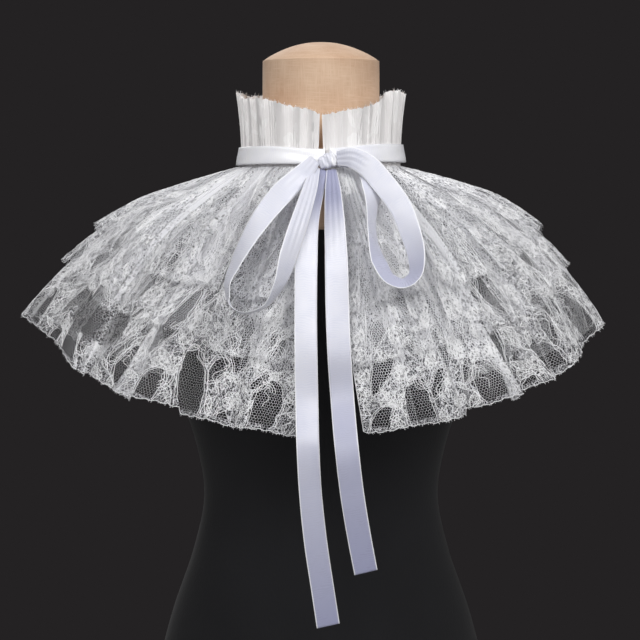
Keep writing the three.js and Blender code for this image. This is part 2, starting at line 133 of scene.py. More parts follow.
def grid_piece(name, places, material, closed=False):
    """A mesh object of a (columns + 1) x (rows + 1) grid of places in millimetres.

    A closed one has its first column on its last, and the two are merged."""
    columns, rows = places.shape[0] - 1, places.shape[1] - 1
    bm = bmesh.new()
    bmesh.ops.create_grid(bm, x_segments=columns, y_segments=rows, size=0.5)
    mesh = bpy.data.meshes.new(name)
    bm.to_mesh(mesh)
    bm.free()
    flat = np.empty(len(mesh.vertices) * 3)
    mesh.vertices.foreach_get("co", flat)
    flat = flat.reshape(-1, 3)
    column = np.rint((flat[:, 0] + 0.5) * columns).astype(int)
    row = np.rint((flat[:, 1] + 0.5) * rows).astype(int)
    mesh.vertices.foreach_set("co", (places[column, row] * MM).ravel())
    if closed:
        bm = bmesh.new()
        bm.from_mesh(mesh)
        bmesh.ops.remove_doubles(bm, verts=bm.verts, dist=1e-6)
        bmesh.ops.recalc_face_normals(bm, faces=bm.faces)
        bm.to_mesh(mesh)
        bm.free()
    mesh.polygons.foreach_set("use_smooth", np.ones(len(mesh.polygons), bool))
    mesh.materials.append(material)
    piece = bpy.data.objects.new(name, mesh)
    bpy.context.collection.objects.link(piece)
    mesh.update()
    return piece, column, row


def dress(piece, slot, *nodes):
    """Every piece rides on the one body; most stand for one or more nodes of the model."""
    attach(piece, "root")
    if nodes:
        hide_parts(*nodes)


def store(piece, name, values):
    """Keeps a number, or a row of three, at each vertex, where the material reads it."""
    kind, field = ("FLOAT_VECTOR", "vector") if values.ndim == 2 else ("FLOAT", "value")
    piece.data.attributes.new(name, kind, "POINT").data.foreach_set(field, values.ravel())


def triangles_of(piece):
    return sum(len(p.vertices) - 2 for p in piece.data.polygons)


# %% [markdown]
# ## The lie of the cape
#
# The three tiers share one neckline seam, an oval round the neck. From there the cloth falls
# steeply in front and behind, and slides out almost level over the shoulders before it drops.
# The same tables shape the solids, so the lace lands exactly on them. `down` is measured along
# the cloth from the seam, and degrees grow from the centre front towards the wearer's left.

# %% The cape's tables
NECKLINE = {"half_width": 76, "half_depth": 72, "z": 595}
WALL = 1.3  # mm, the solids' cloth
SEAM = 0.45  # mm between two tiers at the neckline
SLOPE = {
    "down": (0, 90, 110, 150, 190, 240, 280),
    "side": (18, 22, 32, 39, 46, 53, 57),
    "front": (55, 62, 65, 68, 72, 76, 79),
}
SIDE_TO_FRONT = 0.8  # power by which the fall turns from the sides' to the front's
RIDGE_ROUND = 0.17  # how softly it does so over the shoulder's ridge
LEFT_SHOULDER_SAG = 9  # degrees that the wearer's left falls more steeply
FRONT_EDGE = {"down": (0, 150, 280), "right": (4, 8, 13), "left": (2, 4.5, 7)}
# Main folds: place round the strip and half width in degrees, share of the full height, and how
# many degrees each leans over its neighbour at the hem.
FOLDS = [
    (10, 9, 0.75, 0.5), (24, 7, 1.0, 1.5), (37, 7, 0.6, 8.0), (50, 8, 0.9, 2.0),
    (63, 7, 1.0, -3.0), (76, 7, 0.55, 1.0), (89, 7, 0.95, 7.5), (103, 8, 0.7, -1.5),
    (117, 7, 1.0, -7.5), (130, 7, 0.65, 2.0), (144, 8, 0.9, 7.0), (158, 7, 0.8, -1.5),
    (171, 7, 1.0, 6.0), (185, 8, 0.7, -2.0), (199, 7, 0.95, -7.0), (212, 7, 0.6, 1.5),
    (226, 8, 1.0, 8.0), (240, 7, 0.75, -2.0), (253, 7, 0.9, -7.5), (266, 7, 0.6, 1.5),
    (279, 7, 1.0, -3.0), (292, 8, 0.85, 6.0), (306, 7, 0.65, -1.0), (319, 7, 1.0, -8.0),
    (332, 7, 0.7, 1.5), (347, 9, 0.9, -1.0),
]
HEIGHTS, LEANS = 2, 3  # columns of that table
FOLD_HEIGHT = 15  # mm, at FOLD_AT mm down the cloth
FOLD_AT = 280
FOLD_GROWTH = 1.2
LEAN_GROWTH = 1.4
# `strip` is a tier's flat length. Down to `covered`, the tiers above hide it. `wander` is how far
# its hem strays, and `band` the clothwork that is left below its lowest windows.
TIERS = [
    {"name": "tier_bottom", "length": 272, "puff": 0, "waves": 0, "shift": 0,
     "strip": 1720, "covered": 115, "wander": 2, "band": 6},
    {"name": "tier_middle", "length": 204, "puff": 4.5, "waves": 9, "shift": 1.1,
     "strip": 1520, "covered": 70, "wander": 6, "band": 3},
    {"name": "tier_top", "length": 155, "puff": 5, "waves": 11, "shift": 2.3,
     "strip": 1400, "covered": 0, "wander": 7, "band": 3},
]
TIER_GAP = {"growth": 1.5, "over": 155}  # mm that two tiers part by, over this many mm
SIDE_LIFT = 9  # mm that the cape is shorter over the shoulders, at its hem


# %% The cape's functions
def mix(a, b, share):
    return a + (b - a) * share


def outward(degrees):
    """Level directions, `degrees` round from the centre front."""
    angle = np.radians(degrees)
    return np.stack([np.sin(angle), -np.cos(angle), np.zeros_like(angle)], axis=-1)


def ellipse_radius(half_width, half_depth, degrees):
    angle = np.radians(degrees)
    return 1 / np.hypot(np.sin(angle) / half_width, np.cos(angle) / half_depth)


def rounded(cosine):
    return np.hypot(cosine, RIDGE_ROUND) - RIDGE_ROUND


def cape_fall(degrees, down):
    """How far below level the cape falls, in degrees."""
    angle = np.radians(degrees)
    front_share = (rounded(np.cos(angle)) / rounded(1.0)) ** SIDE_TO_FRONT
    side = np.interp(down, SLOPE["down"], SLOPE["side"])
    front = np.interp(down, SLOPE["down"], SLOPE["front"])
    sag = LEFT_SHOULDER_SAG * np.maximum(0, np.sin(angle)) * (down / FOLD_AT) ** 2
    return mix(side, front, front_share) + sag


BASE_STEP = {"degrees": 0.5, "down": 2.5, "most": 300}
base_degrees = np.arange(0, 360 + BASE_STEP["degrees"], BASE_STEP["degrees"])
base_down = np.arange(0, BASE_STEP["most"] + BASE_STEP["down"], BASE_STEP["down"])
middle_fall = np.radians(cape_fall(base_degrees[:, None], base_down[None, :-1] + BASE_STEP["down"] / 2))
base_out = np.zeros((len(base_degrees), len(base_down)))
base_out[:, 1:] = np.cumsum(BASE_STEP["down"] * np.cos(middle_fall), axis=1)
base_out += ellipse_radius(NECKLINE["half_width"], NECKLINE["half_depth"], base_degrees)[:, None]
base_z = np.zeros_like(base_out)
base_z[:, 1:] = -np.cumsum(BASE_STEP["down"] * np.sin(middle_fall), axis=1)
base_z += NECKLINE["z"]


def between(table, degrees, down):
    """Reads a table of the base, straight between its four nearest values."""
    column = np.clip(np.mod(degrees, 360) / BASE_STEP["degrees"], 0, table.shape[0] - 1.001)
    row = np.clip(down / BASE_STEP["down"], 0, table.shape[1] - 1.001)
    c, r = column.astype(int), row.astype(int)
    u, v = column - c, row - r
    upper = mix(table[c, r], table[c + 1, r], u)
    lower = mix(table[c, r + 1], table[c + 1, r + 1], u)
    return mix(upper, lower, v)


def cape_base(degrees, down):
    """Points of the smooth cape under all folds, and the way its cloth faces there."""
    way = outward(degrees)
    up = np.array([0.0, 0.0, 1.0])
    point = way * between(base_out, degrees, down)[..., None]
    point = point + up * between(base_z, degrees, down)[..., None]
    fall = np.radians(cape_fall(degrees, down))[..., None]
    return point, way * np.sin(fall) + up * np.cos(fall)


def fold_sum(along, column):
    """What the folds add up to at places round the strip, for one column of their table. Each
    fold's share fades to nothing at its sides."""
    total = np.zeros_like(along)
    for fold in FOLDS:
        away = np.clip(np.abs(along - fold[0]) / fold[1], 0, 1)
        total += fold[column] * 0.5 * (1 + np.cos(np.pi * away))
    return total


def tier_lift(tier_index, along, down):
    """How far the inner face of one tier stands off the smooth cape."""
    lift = FOLD_HEIGHT * fold_sum(along, HEIGHTS) * (down / FOLD_AT) ** FOLD_GROWTH
    for tier in TIERS[1 : tier_index + 1]:
        air = SEAM + TIER_GAP["growth"] * (down / TIER_GAP["over"])
        wave = 0.5 + 0.5 * np.cos(np.radians(tier["waves"] * along) + tier["shift"])
        lift = lift + WALL + air + tier["puff"] * wave * (down / tier["length"]) ** FOLD_GROWTH
    return lift


def shortened(degrees, down):
    """The cape is cut a little shorter over the shoulders."""
    return down - SIDE_LIFT * (down / TIERS[0]["length"]) ** 3 * np.sin(np.radians(degrees)) ** 2


def strip_degrees(along, down):
    right = np.interp(down, FRONT_EDGE["down"], FRONT_EDGE["right"])
    left = np.interp(down, FRONT_EDGE["down"], FRONT_EDGE["left"])
    return mix(right, 360 - left, along / 360)


def tier_face(tier_index, along, down, face):
    """A point of the tier's plain wall: face 0 is its inner side and 1 its outer side."""
    degrees = strip_degrees(along, down)
    point, normal = cape_base(degrees, shortened(degrees, down))
    return point + normal * (tier_lift(tier_index, along, down) + face * WALL)[..., None]


hem_test = tier_face(0, np.array([90.0, 270.0]), np.array([272.0, 272.0]), 1.0)
print("shoulder tips at the hem, mm:", np.round(hem_test, 1).tolist())

# %% [markdown]
# ## Gathers
#
# The strips are much longer than the neckline, so on and between the main folds the cloth stands
# in fine uneven gathers. They are sharpest just under the seam, run down as soft streaks, drift
# sideways, and open out towards the hem. Each is shaped like a drawn-up ribbon: it bulges over
# its own foot, which a plain wave cannot do, so the cloth is also moved along the strip.

# %% Gathers
GATHERS = 118
GATHER_HEIGHT = {
    "down": (0, 12, 40, 90, 155, 204, 272),
    "height": (0.5, 1.7, 3.1, 3.4, 2.8, 2.3, 1.7),
}
GATHER_BULGE = 0.10  # of a gather's width, moved along the strip
GATHER_DRIFT = [(7, 0.55, 0.6, 0.4), (17, 0.32, 2.1, -0.7), (31, 0.2, 4.4, 0.9)]
QUIET_FRONT = {"from": 9, "to": 24, "least": 0.4}  # degrees, where the ribbon lies on the lace


def gather_phase(tier_index, along, down):
    turn = 2 * np.pi * along / 360
    phase = GATHERS * turn
    for waves, share, start, sway in GATHER_DRIFT:
        phase = phase + 2 * np.pi * share * np.sin(waves * turn + start + sway * down / 90)
    return phase + 0.55 * tier_index


def gather_height(tier_index, along, down):
    turn = 2 * np.pi * along / 360
    uneven = 0.72 + 0.2 * np.sin(23 * turn + 1.3 + 0.5 * tier_index) + 0.16 * np.sin(41 * turn + down / 70)
    from_front = np.minimum(along, 360 - along)
    calm = np.clip((from_front - QUIET_FRONT["from"]) / (QUIET_FRONT["to"] - QUIET_FRONT["from"]), 0, 1)
    height = np.interp(down, GATHER_HEIGHT["down"], GATHER_HEIGHT["height"])
    return height * uneven * mix(QUIET_FRONT["least"], 1, calm)


def tier_cloth(tier_index, along, down, gathers=1.0):
    """A point of the lace itself, with its folds leaning and its gathers standing up."""
    phase = gather_phase(tier_index, along, down)
    height = gathers * gather_height(tier_index, along, down)
    calm = height / 3
    bulge = 360 / GATHERS * GATHER_BULGE * np.clip(calm, 0, 1.3)
    leaned = along + fold_sum(along, LEANS) * (down / FOLD_AT) ** LEAN_GROWTH + bulge * np.sin(2 * phase)
    leaned = np.clip(leaned, 0, 360)
    degrees = strip_degrees(leaned, down)
    point, normal = cape_base(degrees, shortened(degrees, down))
    lift = tier_lift(tier_index, along, down) + 0.5 * WALL - 0.5 * height * np.cos(phase)
    return point + normal * lift[..., None]


# %% [markdown]
# ## The lace's pattern
#
# Machine lace of this kind is one cloth in three densities. Tall windows, most of them narrower
# at the foot, show the bare hexagonal net. Round them lies close clothwork, with flowers and
# leaves that are closer still. A thicker outline thread, the cordonnet, runs round every petal,
# leaf and window. The repeat below is charted in millimetres of flat cloth. Each vertex is given
# its distance from the edge of the clothwork, because a distance stays sharp between vertices
# where a painted edge would blur.

# %% The chart of one repeat
REPEAT = {"width": 170, "height": 150}
# Open windows of bare net: x, y, half width, half height, turn in degrees, and how much narrower
# the foot is than the head.
WINDOWS = [
    (26, 44, 13, 42, 14, 0.40), (70, 112, 13.5, 44, -12, 0.30), (112, 38, 11.5, 37, 8, 0.45),
    (152, 114, 14, 44, -8, 0.40), (62, 24, 8, 20, -16, 0.2), (90, 80, 6, 16, 24, 0.1),
    (28, 118, 9, 22, 20, 0.3), (152, 28, 8, 22, 22, 0.2), (112, 132, 7, 18, -24, 0.0),
    (134, 76, 5, 13, 30, 0.0),
]
# Flowers: x, y, petals, distance of the petals' middles, petal radius, turn.
FLOWERS = [
    (48, 60, 6, 6.5, 4.6, 10), (130, 52, 6, 7.0, 5.0, 35), (86, 56, 5, 4.4, 3.4, 0),
    (4, 84, 5, 5.0, 4.0, 20), (112, 104, 6, 6.0, 4.4, 5), (44, 92, 5, 5.4, 4.0, 50),
    (168, 66, 5, 4.0, 3.2, 12), (96, 146, 5, 3.6, 2.9, 40), (30, 92, 5, 3.4, 2.8, 15),
    (88, 8, 5, 3.8, 3.0, 30), (134, 6, 5, 3.6, 2.8, 60), (8, 4, 6, 5.0, 4.0, 0),
    (46, 144, 5, 4.2, 3.4, 25), (132, 130, 5, 3.4, 2.8, 45),
]
# Leaves: x, y, length, width, turn.
LEAVES = [
    (50, 36, 22, 7, 70), (34, 86, 22, 8, 35), (92, 44, 18, 6, 120), (104, 82, 20, 7, 15),
    (134, 34, 18, 7, 100), (150, 64, 22, 8, 150), (92, 118, 22, 7, 75), (130, 108, 22, 8, 110),
    (48, 118, 20, 7, 60), (4, 24, 22, 8, 130), (90, 22, 18, 6, 20), (136, 144, 20, 7, 160),
    (6, 62, 16, 6, 80), (8, 130, 20, 7, 45), (72, 60, 14, 5, 10), (112, 6, 16, 5, 80),
    (40, 6, 16, 6, 110), (10, 104, 16, 6, 20), (60, 70, 18, 6, 140), (168, 46, 16, 5, 100),
    (74, 42, 18, 6, 60), (122, 90, 14, 5, 50),
]
# Fans of parallel threads: x, y, first radius, how many, turn.
FANS = [
    (104, 92, 6, 4, 200), (36, 104, 5, 4, 20), (142, 84, 5, 3, 300), (76, 70, 5, 4, 120),
    (4, 142, 6, 5, 250),
]
FAN_STEP = 2.6  # mm from one thread of a fan to the next
# Long wandering threads: x, y, length, turn, how far they sway, and how many times.
STEMS = [
    (46, 70, 84, 84, 4, 3), (50, 66, 70, 97, 3, 4), (92, 70, 90, 92, 5, 3), (96, 62, 64, 80, 3, 5),
    (132, 84, 86, 96, 5, 3), (140, 70, 60, 75, 3, 4), (4, 60, 96, 88, 4, 4), (8, 118, 60, 100, 3, 3),
    (48, 136, 60, 78, 4, 3), (112, 96, 54, 104, 3, 3), (34, 92, 50, 60, 3, 3), (168, 88, 70, 93, 3, 5),
    (92, 138, 44, 110, 3, 2), (134, 16, 56, 86, 4, 3), (86, 20, 60, 98, 3, 4),
]
SQUARE = 3.2  # how square a window's corners are, where 2 is an oval
FAR = 1e3  # mm, further than any edge


def chart_slip(u, v):
    """How far the chart is moved at a place on the cloth. No two repeats look quite the same."""
    across = 9 * np.sin(u / 71 + v / 37) + 5 * np.sin(v / 23 - u / 131 + 2)
    down = 10 * np.sin(u / 67 - v / 51 + 1) + 5 * np.sin(u / 33 + 4)
    return across, down


def on_cloth(x, y):
    """The place on the cloth of a place on the chart."""
    u, v = x, y
    for _ in range(6):
        across, down = chart_slip(u, v)
        u, v = x - across, y - down
    return u, v


def local(u, v, x, y, turn):
    """Places seen from one motif, the nearest of its repeats, turned with it."""
    across, down = chart_slip(u, v)
    width, height = REPEAT["width"], REPEAT["height"]
    dx = np.mod(u + across - x + width / 2, width) - width / 2
    dy = np.mod(v + down - y + height / 2, height) - height / 2
    angle = np.radians(turn)
    return dx * np.cos(angle) + dy * np.sin(angle), dy * np.cos(angle) - dx * np.sin(angle)


def window_distance(u, v):
    """Millimetres to the edge of the nearest window, less than 0 in the clothwork round it."""
    nearest = np.full(np.shape(u), FAR)
    for x, y, a, b, turn, taper in WINDOWS:
        p, q = local(u, v, x, y, turn)
        wide = a * np.clip(1 - taper * q / b, 0.3, 1.7)
        round_size = np.hypot(p / wide, q / b)
        square_size = (np.abs(p / wide) ** SQUARE + np.abs(q / b) ** SQUARE) ** (1 / SQUARE)
        slope = np.maximum(np.hypot(p / wide**2, q / b**2), 1e-6)
        nearest = np.minimum(nearest, round_size * (square_size - 1) / slope)
    return -nearest


def motif_distance(u, v):
    """Millimetres to the edge of the nearest petal or leaf, less than 0 inside it."""
    motif = np.full(np.shape(u), FAR)
    for x, y, petals, reach, radius, turn in FLOWERS:
        p, q = local(u, v, x, y, turn)
        sector = 2 * np.pi / petals
        angle = np.mod(np.arctan2(q, p), sector) - sector / 2
        away = np.hypot(p, q)
        petal = np.hypot(away * np.cos(angle) - reach, away * np.sin(angle)) - radius
        motif = np.minimum(motif, np.minimum(petal, away - reach))
    for x, y, length, width, turn in LEAVES:
        p, q = local(u, v, x, y, turn)
        bow = (length**2 + width**2) / (4 * width)
        motif = np.minimum(motif, np.hypot(p, np.abs(q) + bow - width / 2) - bow)
    return motif


u_test, v_test = np.meshgrid(np.arange(0, 300.0), np.arange(0, 256.0))
print("share of bare net:", round(float((window_distance(u_test, v_test) > 0).mean()), 2))
print("share of petals and leaves:", round(float((motif_distance(u_test, v_test) < 0).mean()), 2))


# %% [markdown]
# ## Outline threads
#
# The cordonnet is a real thread, about half a millimetre thick and raised on the net, so it is
# made as geometry: a long narrow grid whose middle row stands up like a roof ridge. All the
# outlines of a tier are laid out along one grid, and the cells that would join one outline to the
# next are deleted. Short loose curls of the same thread fill the clothwork between them.

# %% Outlines of one repeat
OUTLINE_STEP = 3.0


def steps_round(length):
    return max(5, int(round(length / OUTLINE_STEP)))


def placed(points, x, y, turn):
    angle = np.radians(turn)
    p, q = points[:, 0], points[:, 1]
    return np.stack(
        [x + p * np.cos(angle) - q * np.sin(angle), y + p * np.sin(angle) + q * np.cos(angle)], axis=1
    )


def window_line(a, b, taper, spread, wobble):
    around = 2 * np.pi * math.sqrt((a * a + b * b) / 2)
    t = np.linspace(0, 2 * np.pi, steps_round(around) + 1)
    grow = 1 + wobble * np.sin(5 * t + a) + 0.7 * wobble * np.sin(11 * t + b)
    wide = (a + spread) * (1 - taper * np.sin(t))
    return np.stack([wide * grow * np.cos(t), (b + spread) * grow * np.sin(t)], axis=1)


def repeat_outlines():
    """All the outline threads of one repeat, as lines on the chart."""
    lines = []
    for k, (x, y, a, b, turn, taper) in enumerate(WINDOWS):
        lines.append(placed(window_line(a, b, taper, 0.2, 0.02), x, y, turn))
        lines.append(placed(window_line(a, b, taper, 2.4 + 0.4 * (k % 3), 0.035), x, y, turn))
    for x, y, petals, reach, radius, turn in FLOWERS:
        for k in range(petals):
            middle = 360 * (k + 0.5) / petals
            t = np.linspace(-2.3, 2.3, steps_round(4.6 * radius) + 1)
            arc = np.stack([reach + radius * np.cos(t), radius * np.sin(t)], axis=1)
            lines.append(placed(placed(arc, 0, 0, middle), x, y, turn))
    for x, y, length, width, turn in LEAVES:
        t = np.linspace(-1, 1, steps_round(length) + 1)
        side = np.stack([length / 2 * t, width / 2 * (1 - t * t)], axis=1)
        lines += [placed(line, x, y, turn) for line in (side, side * (1, -1))]
    for x, y, length, turn, sway, times in STEMS:
        t = np.linspace(-1, 1, steps_round(1.15 * length) + 1)
        line = np.stack([length / 2 * t, sway * np.sin(times * np.pi * t + x)], axis=1)
        lines.append(placed(line, x, y, turn))
    for x, y, radius, count, turn in FANS:
        for k in range(count):
            t = np.linspace(-1.1, 1.1, steps_round(2.2 * (radius + FAN_STEP * k)) + 1)
            arc = (radius + FAN_STEP * k) * np.stack([np.cos(t), np.sin(t)], axis=1)
            lines.append(placed(arc, x, y, turn))
    return lines


def curls(pitch, seed):
    """Short loose curls of thread, scattered over the clothwork of one repeat."""
    draw = np.random.default_rng(seed)
    grid = np.meshgrid(np.arange(0, REPEAT["width"], pitch), np.arange(0, REPEAT["height"], pitch))
    lines = []
    for x, y in np.stack(grid, axis=-1).reshape(-1, 2):
        x, y = x + draw.uniform(0, pitch), y + draw.uniform(0, pitch)
        size, bend, start = draw.uniform(2.4, 4.2), draw.uniform(-2.6, 2.6), draw.uniform(0, 6.3)
        turn = start + bend * np.linspace(-1, 1, 5) ** 2 + bend * np.linspace(-1, 1, 5)
        line = np.cumsum(size * np.stack([0.8 * np.cos(turn), np.sin(turn)], axis=1), axis=0)
        line += (x, y) - line.mean(axis=0)
        u, v = on_cloth(line[:, 0], line[:, 1])
        if window_distance(u, v).max() < 0:
            lines.append(line)
    return lines


OUTLINES = repeat_outlines() + curls(pitch=8.5, seed=3)
print("outlines in a repeat:", len(OUTLINES), "with", sum(len(line) for line in OUTLINES), "points")

# %% Helpers for threads
THREAD_FOOT = 0.08  # mm that a thread's sides stand off the cloth


def face_of(grid):
    """The unit normals of a grid of places."""
    along = np.gradient(grid, axis=0)
    up = np.gradient(grid, axis=1)
    normal = np.cross(along, up)
    return normal / np.maximum(np.linalg.norm(normal, axis=-1, keepdims=True), 1e-9)


def on_grid(grid, column, row):
    """Reads a grid of places, or of normals, between its points."""
    c = np.clip(column, 0, grid.shape[0] - 1.001)
    r = np.clip(row, 0, grid.shape[1] - 1.001)
    i, j = c.astype(int), r.astype(int)
    u, v = (c - i)[..., None], (r - j)[..., None]
    return mix(mix(grid[i, j], grid[i + 1, j], u), mix(grid[i, j + 1], grid[i + 1, j + 1], u), v)


def thread_piece(name, runs, size, material):
    """Threads laid on cloth, of one width and rise. Each run is places, normals and which places
    are on the cloth, with many threads of one length in it."""
    middles, ups, sides, joined = [], [], [], []
    for places, normals, kept in runs:
        along = np.gradient(places, axis=1)
        side = np.cross(normals, along)
        side /= np.maximum(np.linalg.norm(side, axis=-1, keepdims=True), 1e-9)
        cells = kept & np.roll(kept, -1, axis=1)
        cells[:, -1] = False
        middles.append(places.reshape(-1, 3))
        ups.append(normals.reshape(-1, 3))
        sides.append(side.reshape(-1, 3))
        joined.append(cells.ravel())
    middle, up, side = (np.concatenate(part) for part in (middles, ups, sides))
    keep = np.concatenate(joined)[:-1]
    left = middle - side * size["width"] / 2 + up * THREAD_FOOT
    right = middle + side * size["width"] / 2 + up * THREAD_FOOT
    grid = np.stack([left, middle + up * size["rise"], right], axis=1)
    piece, column, _ = grid_piece(name, grid, material)
    bm = bmesh.new()
    bm.from_mesh(piece.data)
    bm.verts.ensure_lookup_table()
    doomed = []
    for face in bm.faces:
        first = min(column[v.index] for v in face.verts)
        if not keep[first]:
            doomed.append(face)
    bmesh.ops.delete(bm, geom=doomed, context="FACES")
    bm.to_mesh(piece.data)
    bm.free()
    return piece


# %% [markdown]
# ## White raschel lace
#
# The yarn is a matt white polyester filament. It gives the eye soft, bright threads with no gloss
# of their own, and the dark behind shows through every gap. So the shader is a plain rough white,
# and the pattern works on its alpha: a hexagonal net in the windows, a close mesh with coarse
# tangled threads for the clothwork, and a closer one still for petals and leaves. The real net has
# about 2.5 mm from side to side and is drawn a little coarser, at 2.7 mm, so that it shows. Small
# gaps, longer along the fall of the cloth, break up the clothwork, and round each of them the yarn
# is darkened with soft painted shade, which fades where the cloth is doubled. Where the cloth is
# gathered, more of it lies in each millimetre, so the threads are drawn wider by the same share.

# %% Lace material
# Pitch of each mesh and thickness of its thread, mm.
NET = (2.7, 0.315)
GROUND = (2.2, 0.18)
PETAL = (1.9, 0.42)
TANGLES = [(5.0, 0.42), (3.4, 0.24)]
TANGLE_SHAPE = 0.62  # width of a tangle's cells as a share of their length down the cloth
GAP_PITCH = (2.3, 4.4)  # mm between the clothwork's small gaps, across the cloth and down it
PAINTED_SHADE_REACH = 0.5  # how far from a gap's middle its painted shade reaches, as a share of that pitch
PAINTED_SHADE_DEPTH = 3.0  # how dark the painted shade is, for each unit of its gap's size
# Cloth drawn up this many times shows its painted shade fully, and this many times hardly at all.
PAINTED_SHADE_CLOTH = (3.0, 6.5)
RAGGED = 7.0  # mm that the edge of the clothwork wanders
WAVER = 4.0  # mm that the whole mesh is pulled about


def hexagons(tree, place, pitch):
    """Millimetres from the nearest thread of a hexagonal net, on flat cloth."""
    half = (0.5, math.sqrt(3) / 2, 0.5)
    back = tuple(-h for h in half)
    scaled = node(tree, "VectorMath", {0: place, "Scale": 1 / pitch}, operation="SCALE")
    moved = node(tree, "VectorMath", {0: scaled, 1: half}, operation="SUBTRACT")
    cells, sizes = [], []
    for start in (scaled, moved):
        cell = node(tree, "VectorMath", {0: start, 1: half, 2: back}, operation="WRAP")
        cells.append(node(tree, "VectorMath", {0: cell, 1: (1, 1, 0)}, operation="MULTIPLY"))
        size = node(tree, "VectorMath", {0: cells[-1]}, operation="LENGTH")
        sizes.append(size.outputs["Value"])
    nearer = node(tree, "Math", {0: sizes[0], 1: sizes[1]}, operation="GREATER_THAN")
    chosen = node(tree, "Mix", {0: nearer, 4: cells[0], 5: cells[1]}, data_type="VECTOR")
    folded = node(tree, "VectorMath", {0: chosen.outputs[1]}, operation="ABSOLUTE")
    slant = node(tree, "VectorMath", {0: folded, 1: (0.5, half[1], 0)}, operation="DOT_PRODUCT")
    level = node(tree, "VectorMath", {0: folded, 1: (1, 0, 0)}, operation="DOT_PRODUCT")
    ways = {0: slant.outputs["Value"], 1: level.outputs["Value"]}
    most = node(tree, "Math", ways, operation="MAXIMUM")
    gap = node(tree, "Math", {0: 0.5, 1: most}, operation="SUBTRACT")
    return node(tree, "Math", {0: gap, 1: pitch}, operation="MULTIPLY")


def lace_material(name, colours, closeness, gap):
    """Lace yarn, in a colour for petals and one for the rest. `closeness` widens every thread,
    and `gap` is the size of the clothwork's gaps and sets how dark the painted shade round them is."""
    material, tree = new_material(name)
    cloth = node(tree, "Attribute", attribute_name="lace").outputs["Vector"]
    full = node(tree, "Attribute", attribute_name="fullness").outputs["Fac"]
    motif = node(tree, "Attribute", attribute_name="motif").outputs["Fac"]
    parts = node(tree, "SeparateXYZ", {0: cloth})
    flat = node(tree, "CombineXYZ", {0: parts.outputs[0], 1: parts.outputs[1]})
    noise = node(tree, "TexNoise", {"Vector": flat, "Scale": 0.11, "Detail": 3.0}).outputs["Color"]
    nudge = node(tree, "VectorMath", {0: noise, 1: (0.5, 0.5, 0.5)}, operation="SUBTRACT")
    slip = node(tree, "VectorMath", {0: nudge, "Scale": WAVER}, operation="SCALE")
    place = node(tree, "VectorMath", {0: flat, 1: slip}, operation="ADD")

    def on_thread(away, thread):
        """1 where a thread this thick covers the place, and 0 in the holes."""
        reach = node(tree, "Math", {0: full, 1: closeness * thread / 2}, operation="MULTIPLY")
        return node(tree, "Math", {0: away, 1: reach}, operation="LESS_THAN")

    net, ground, petal = (
        on_thread(hexagons(tree, place, pitch), thread) for pitch, thread in (NET, GROUND, PETAL)
    )
    for cell, thread in TANGLES:
        cells = (1 / cell, TANGLE_SHAPE / cell, 1)
        tall = node(tree, "VectorMath", {0: place, 1: cells}, operation="MULTIPLY")
        lines = node(tree, "TexVoronoi", {"Vector": tall, "Scale": 1.0}, feature="DISTANCE_TO_EDGE")
        away = node(tree, "Math", {0: lines.outputs["Distance"], 1: cell}, operation="MULTIPLY")
        tangle = on_thread(away, thread)
        ground = node(tree, "Math", {0: ground, 1: tangle}, operation="MAXIMUM")

    ragged = node(tree, "VectorMath", {0: nudge, 1: (0, 0, RAGGED)}, operation="DOT_PRODUCT")
    edge = {0: parts.outputs[2], 1: ragged.outputs["Value"]}
    in_cloth = node(tree, "Math", edge, operation="LESS_THAN")
    in_petal = node(tree, "Math", {0: motif, 1: 0.0}, operation="LESS_THAN")
    cover = net
    for mesh, where in ((ground, in_cloth), (petal, in_petal)):
        only = node(tree, "Math", {0: mesh, 1: where}, operation="MULTIPLY")
        cover = node(tree, "Math", {0: cover, 1: only}, operation="MAXIMUM")

    long_cells = (1 / GAP_PITCH[0], 1 / GAP_PITCH[1], 1)
    drawn = node(tree, "VectorMath", {0: place, 1: long_cells}, operation="MULTIPLY")
    spots = node(tree, "TexVoronoi", {"Vector": drawn, "Scale": 1.0}, feature="F1")
    from_gap = spots.outputs["Distance"]
    past_gap = node(tree, "Math", {0: from_gap, 1: gap}, operation="GREATER_THAN")
    in_net = node(tree, "Math", {0: 1.0, 1: in_cloth}, operation="SUBTRACT")
    whole = node(tree, "Math", {0: past_gap, 1: in_net}, operation="MAXIMUM")
    cover = node(tree, "Math", {0: cover, 1: whole}, operation="MULTIPLY")

    # Painted shade: the yarn round each small gap is darkened, less where the cloth is doubled.
    fade = {0: from_gap, 1: 0.5 * PAINTED_SHADE_REACH, 2: PAINTED_SHADE_REACH, 3: gap * PAINTED_SHADE_DEPTH, 4: 0.0}
    painted_shade = node(tree, "MapRange", fade)
    single = node(tree, "MapRange", {0: full, 1: PAINTED_SHADE_CLOTH[0], 2: PAINTED_SHADE_CLOTH[1], 3: 1.0, 4: 0.1})
    for where in (in_cloth, single):
        painted_shade = node(tree, "Math", {0: painted_shade, 1: where}, operation="MULTIPLY")
    yarn = {0: in_petal, 6: srgb(colours[1]), 7: srgb(colours[0])}
    shade = node(tree, "Mix", yarn, data_type="RGBA")
    # The dark grey of the painted shade.
    with_painted_shade = {0: painted_shade, 6: shade.outputs[2], 7: srgb("55555a")}
    yarn_with_painted_shade = node(tree, "Mix", with_painted_shade, data_type="RGBA")
    raised = node(tree, "Bump", {"Height": petal, "Strength": 0.2, "Distance": 0.0003})
    shade_by(tree, {
        "Alpha": cover, "Base Color": yarn_with_painted_shade.outputs[2], "Normal": raised,
        "Roughness": 0.85, "Specular IOR Level": 0.25, "Sheen Weight": 0.15,
    })
    return material


lace = lace_material("white_raschel_lace", ("e9e9eb", "dbdbdf"), 1.0, 0.22)
# The frill's yarn is painted whiter than the cape's: painted light that makes up for the shade of its own
# pleats.
frill_lace_painted_light = lace_material("white_frill_lace_painted_light", ("f8f6f5", "f2efee"), 7.0, 0.0)


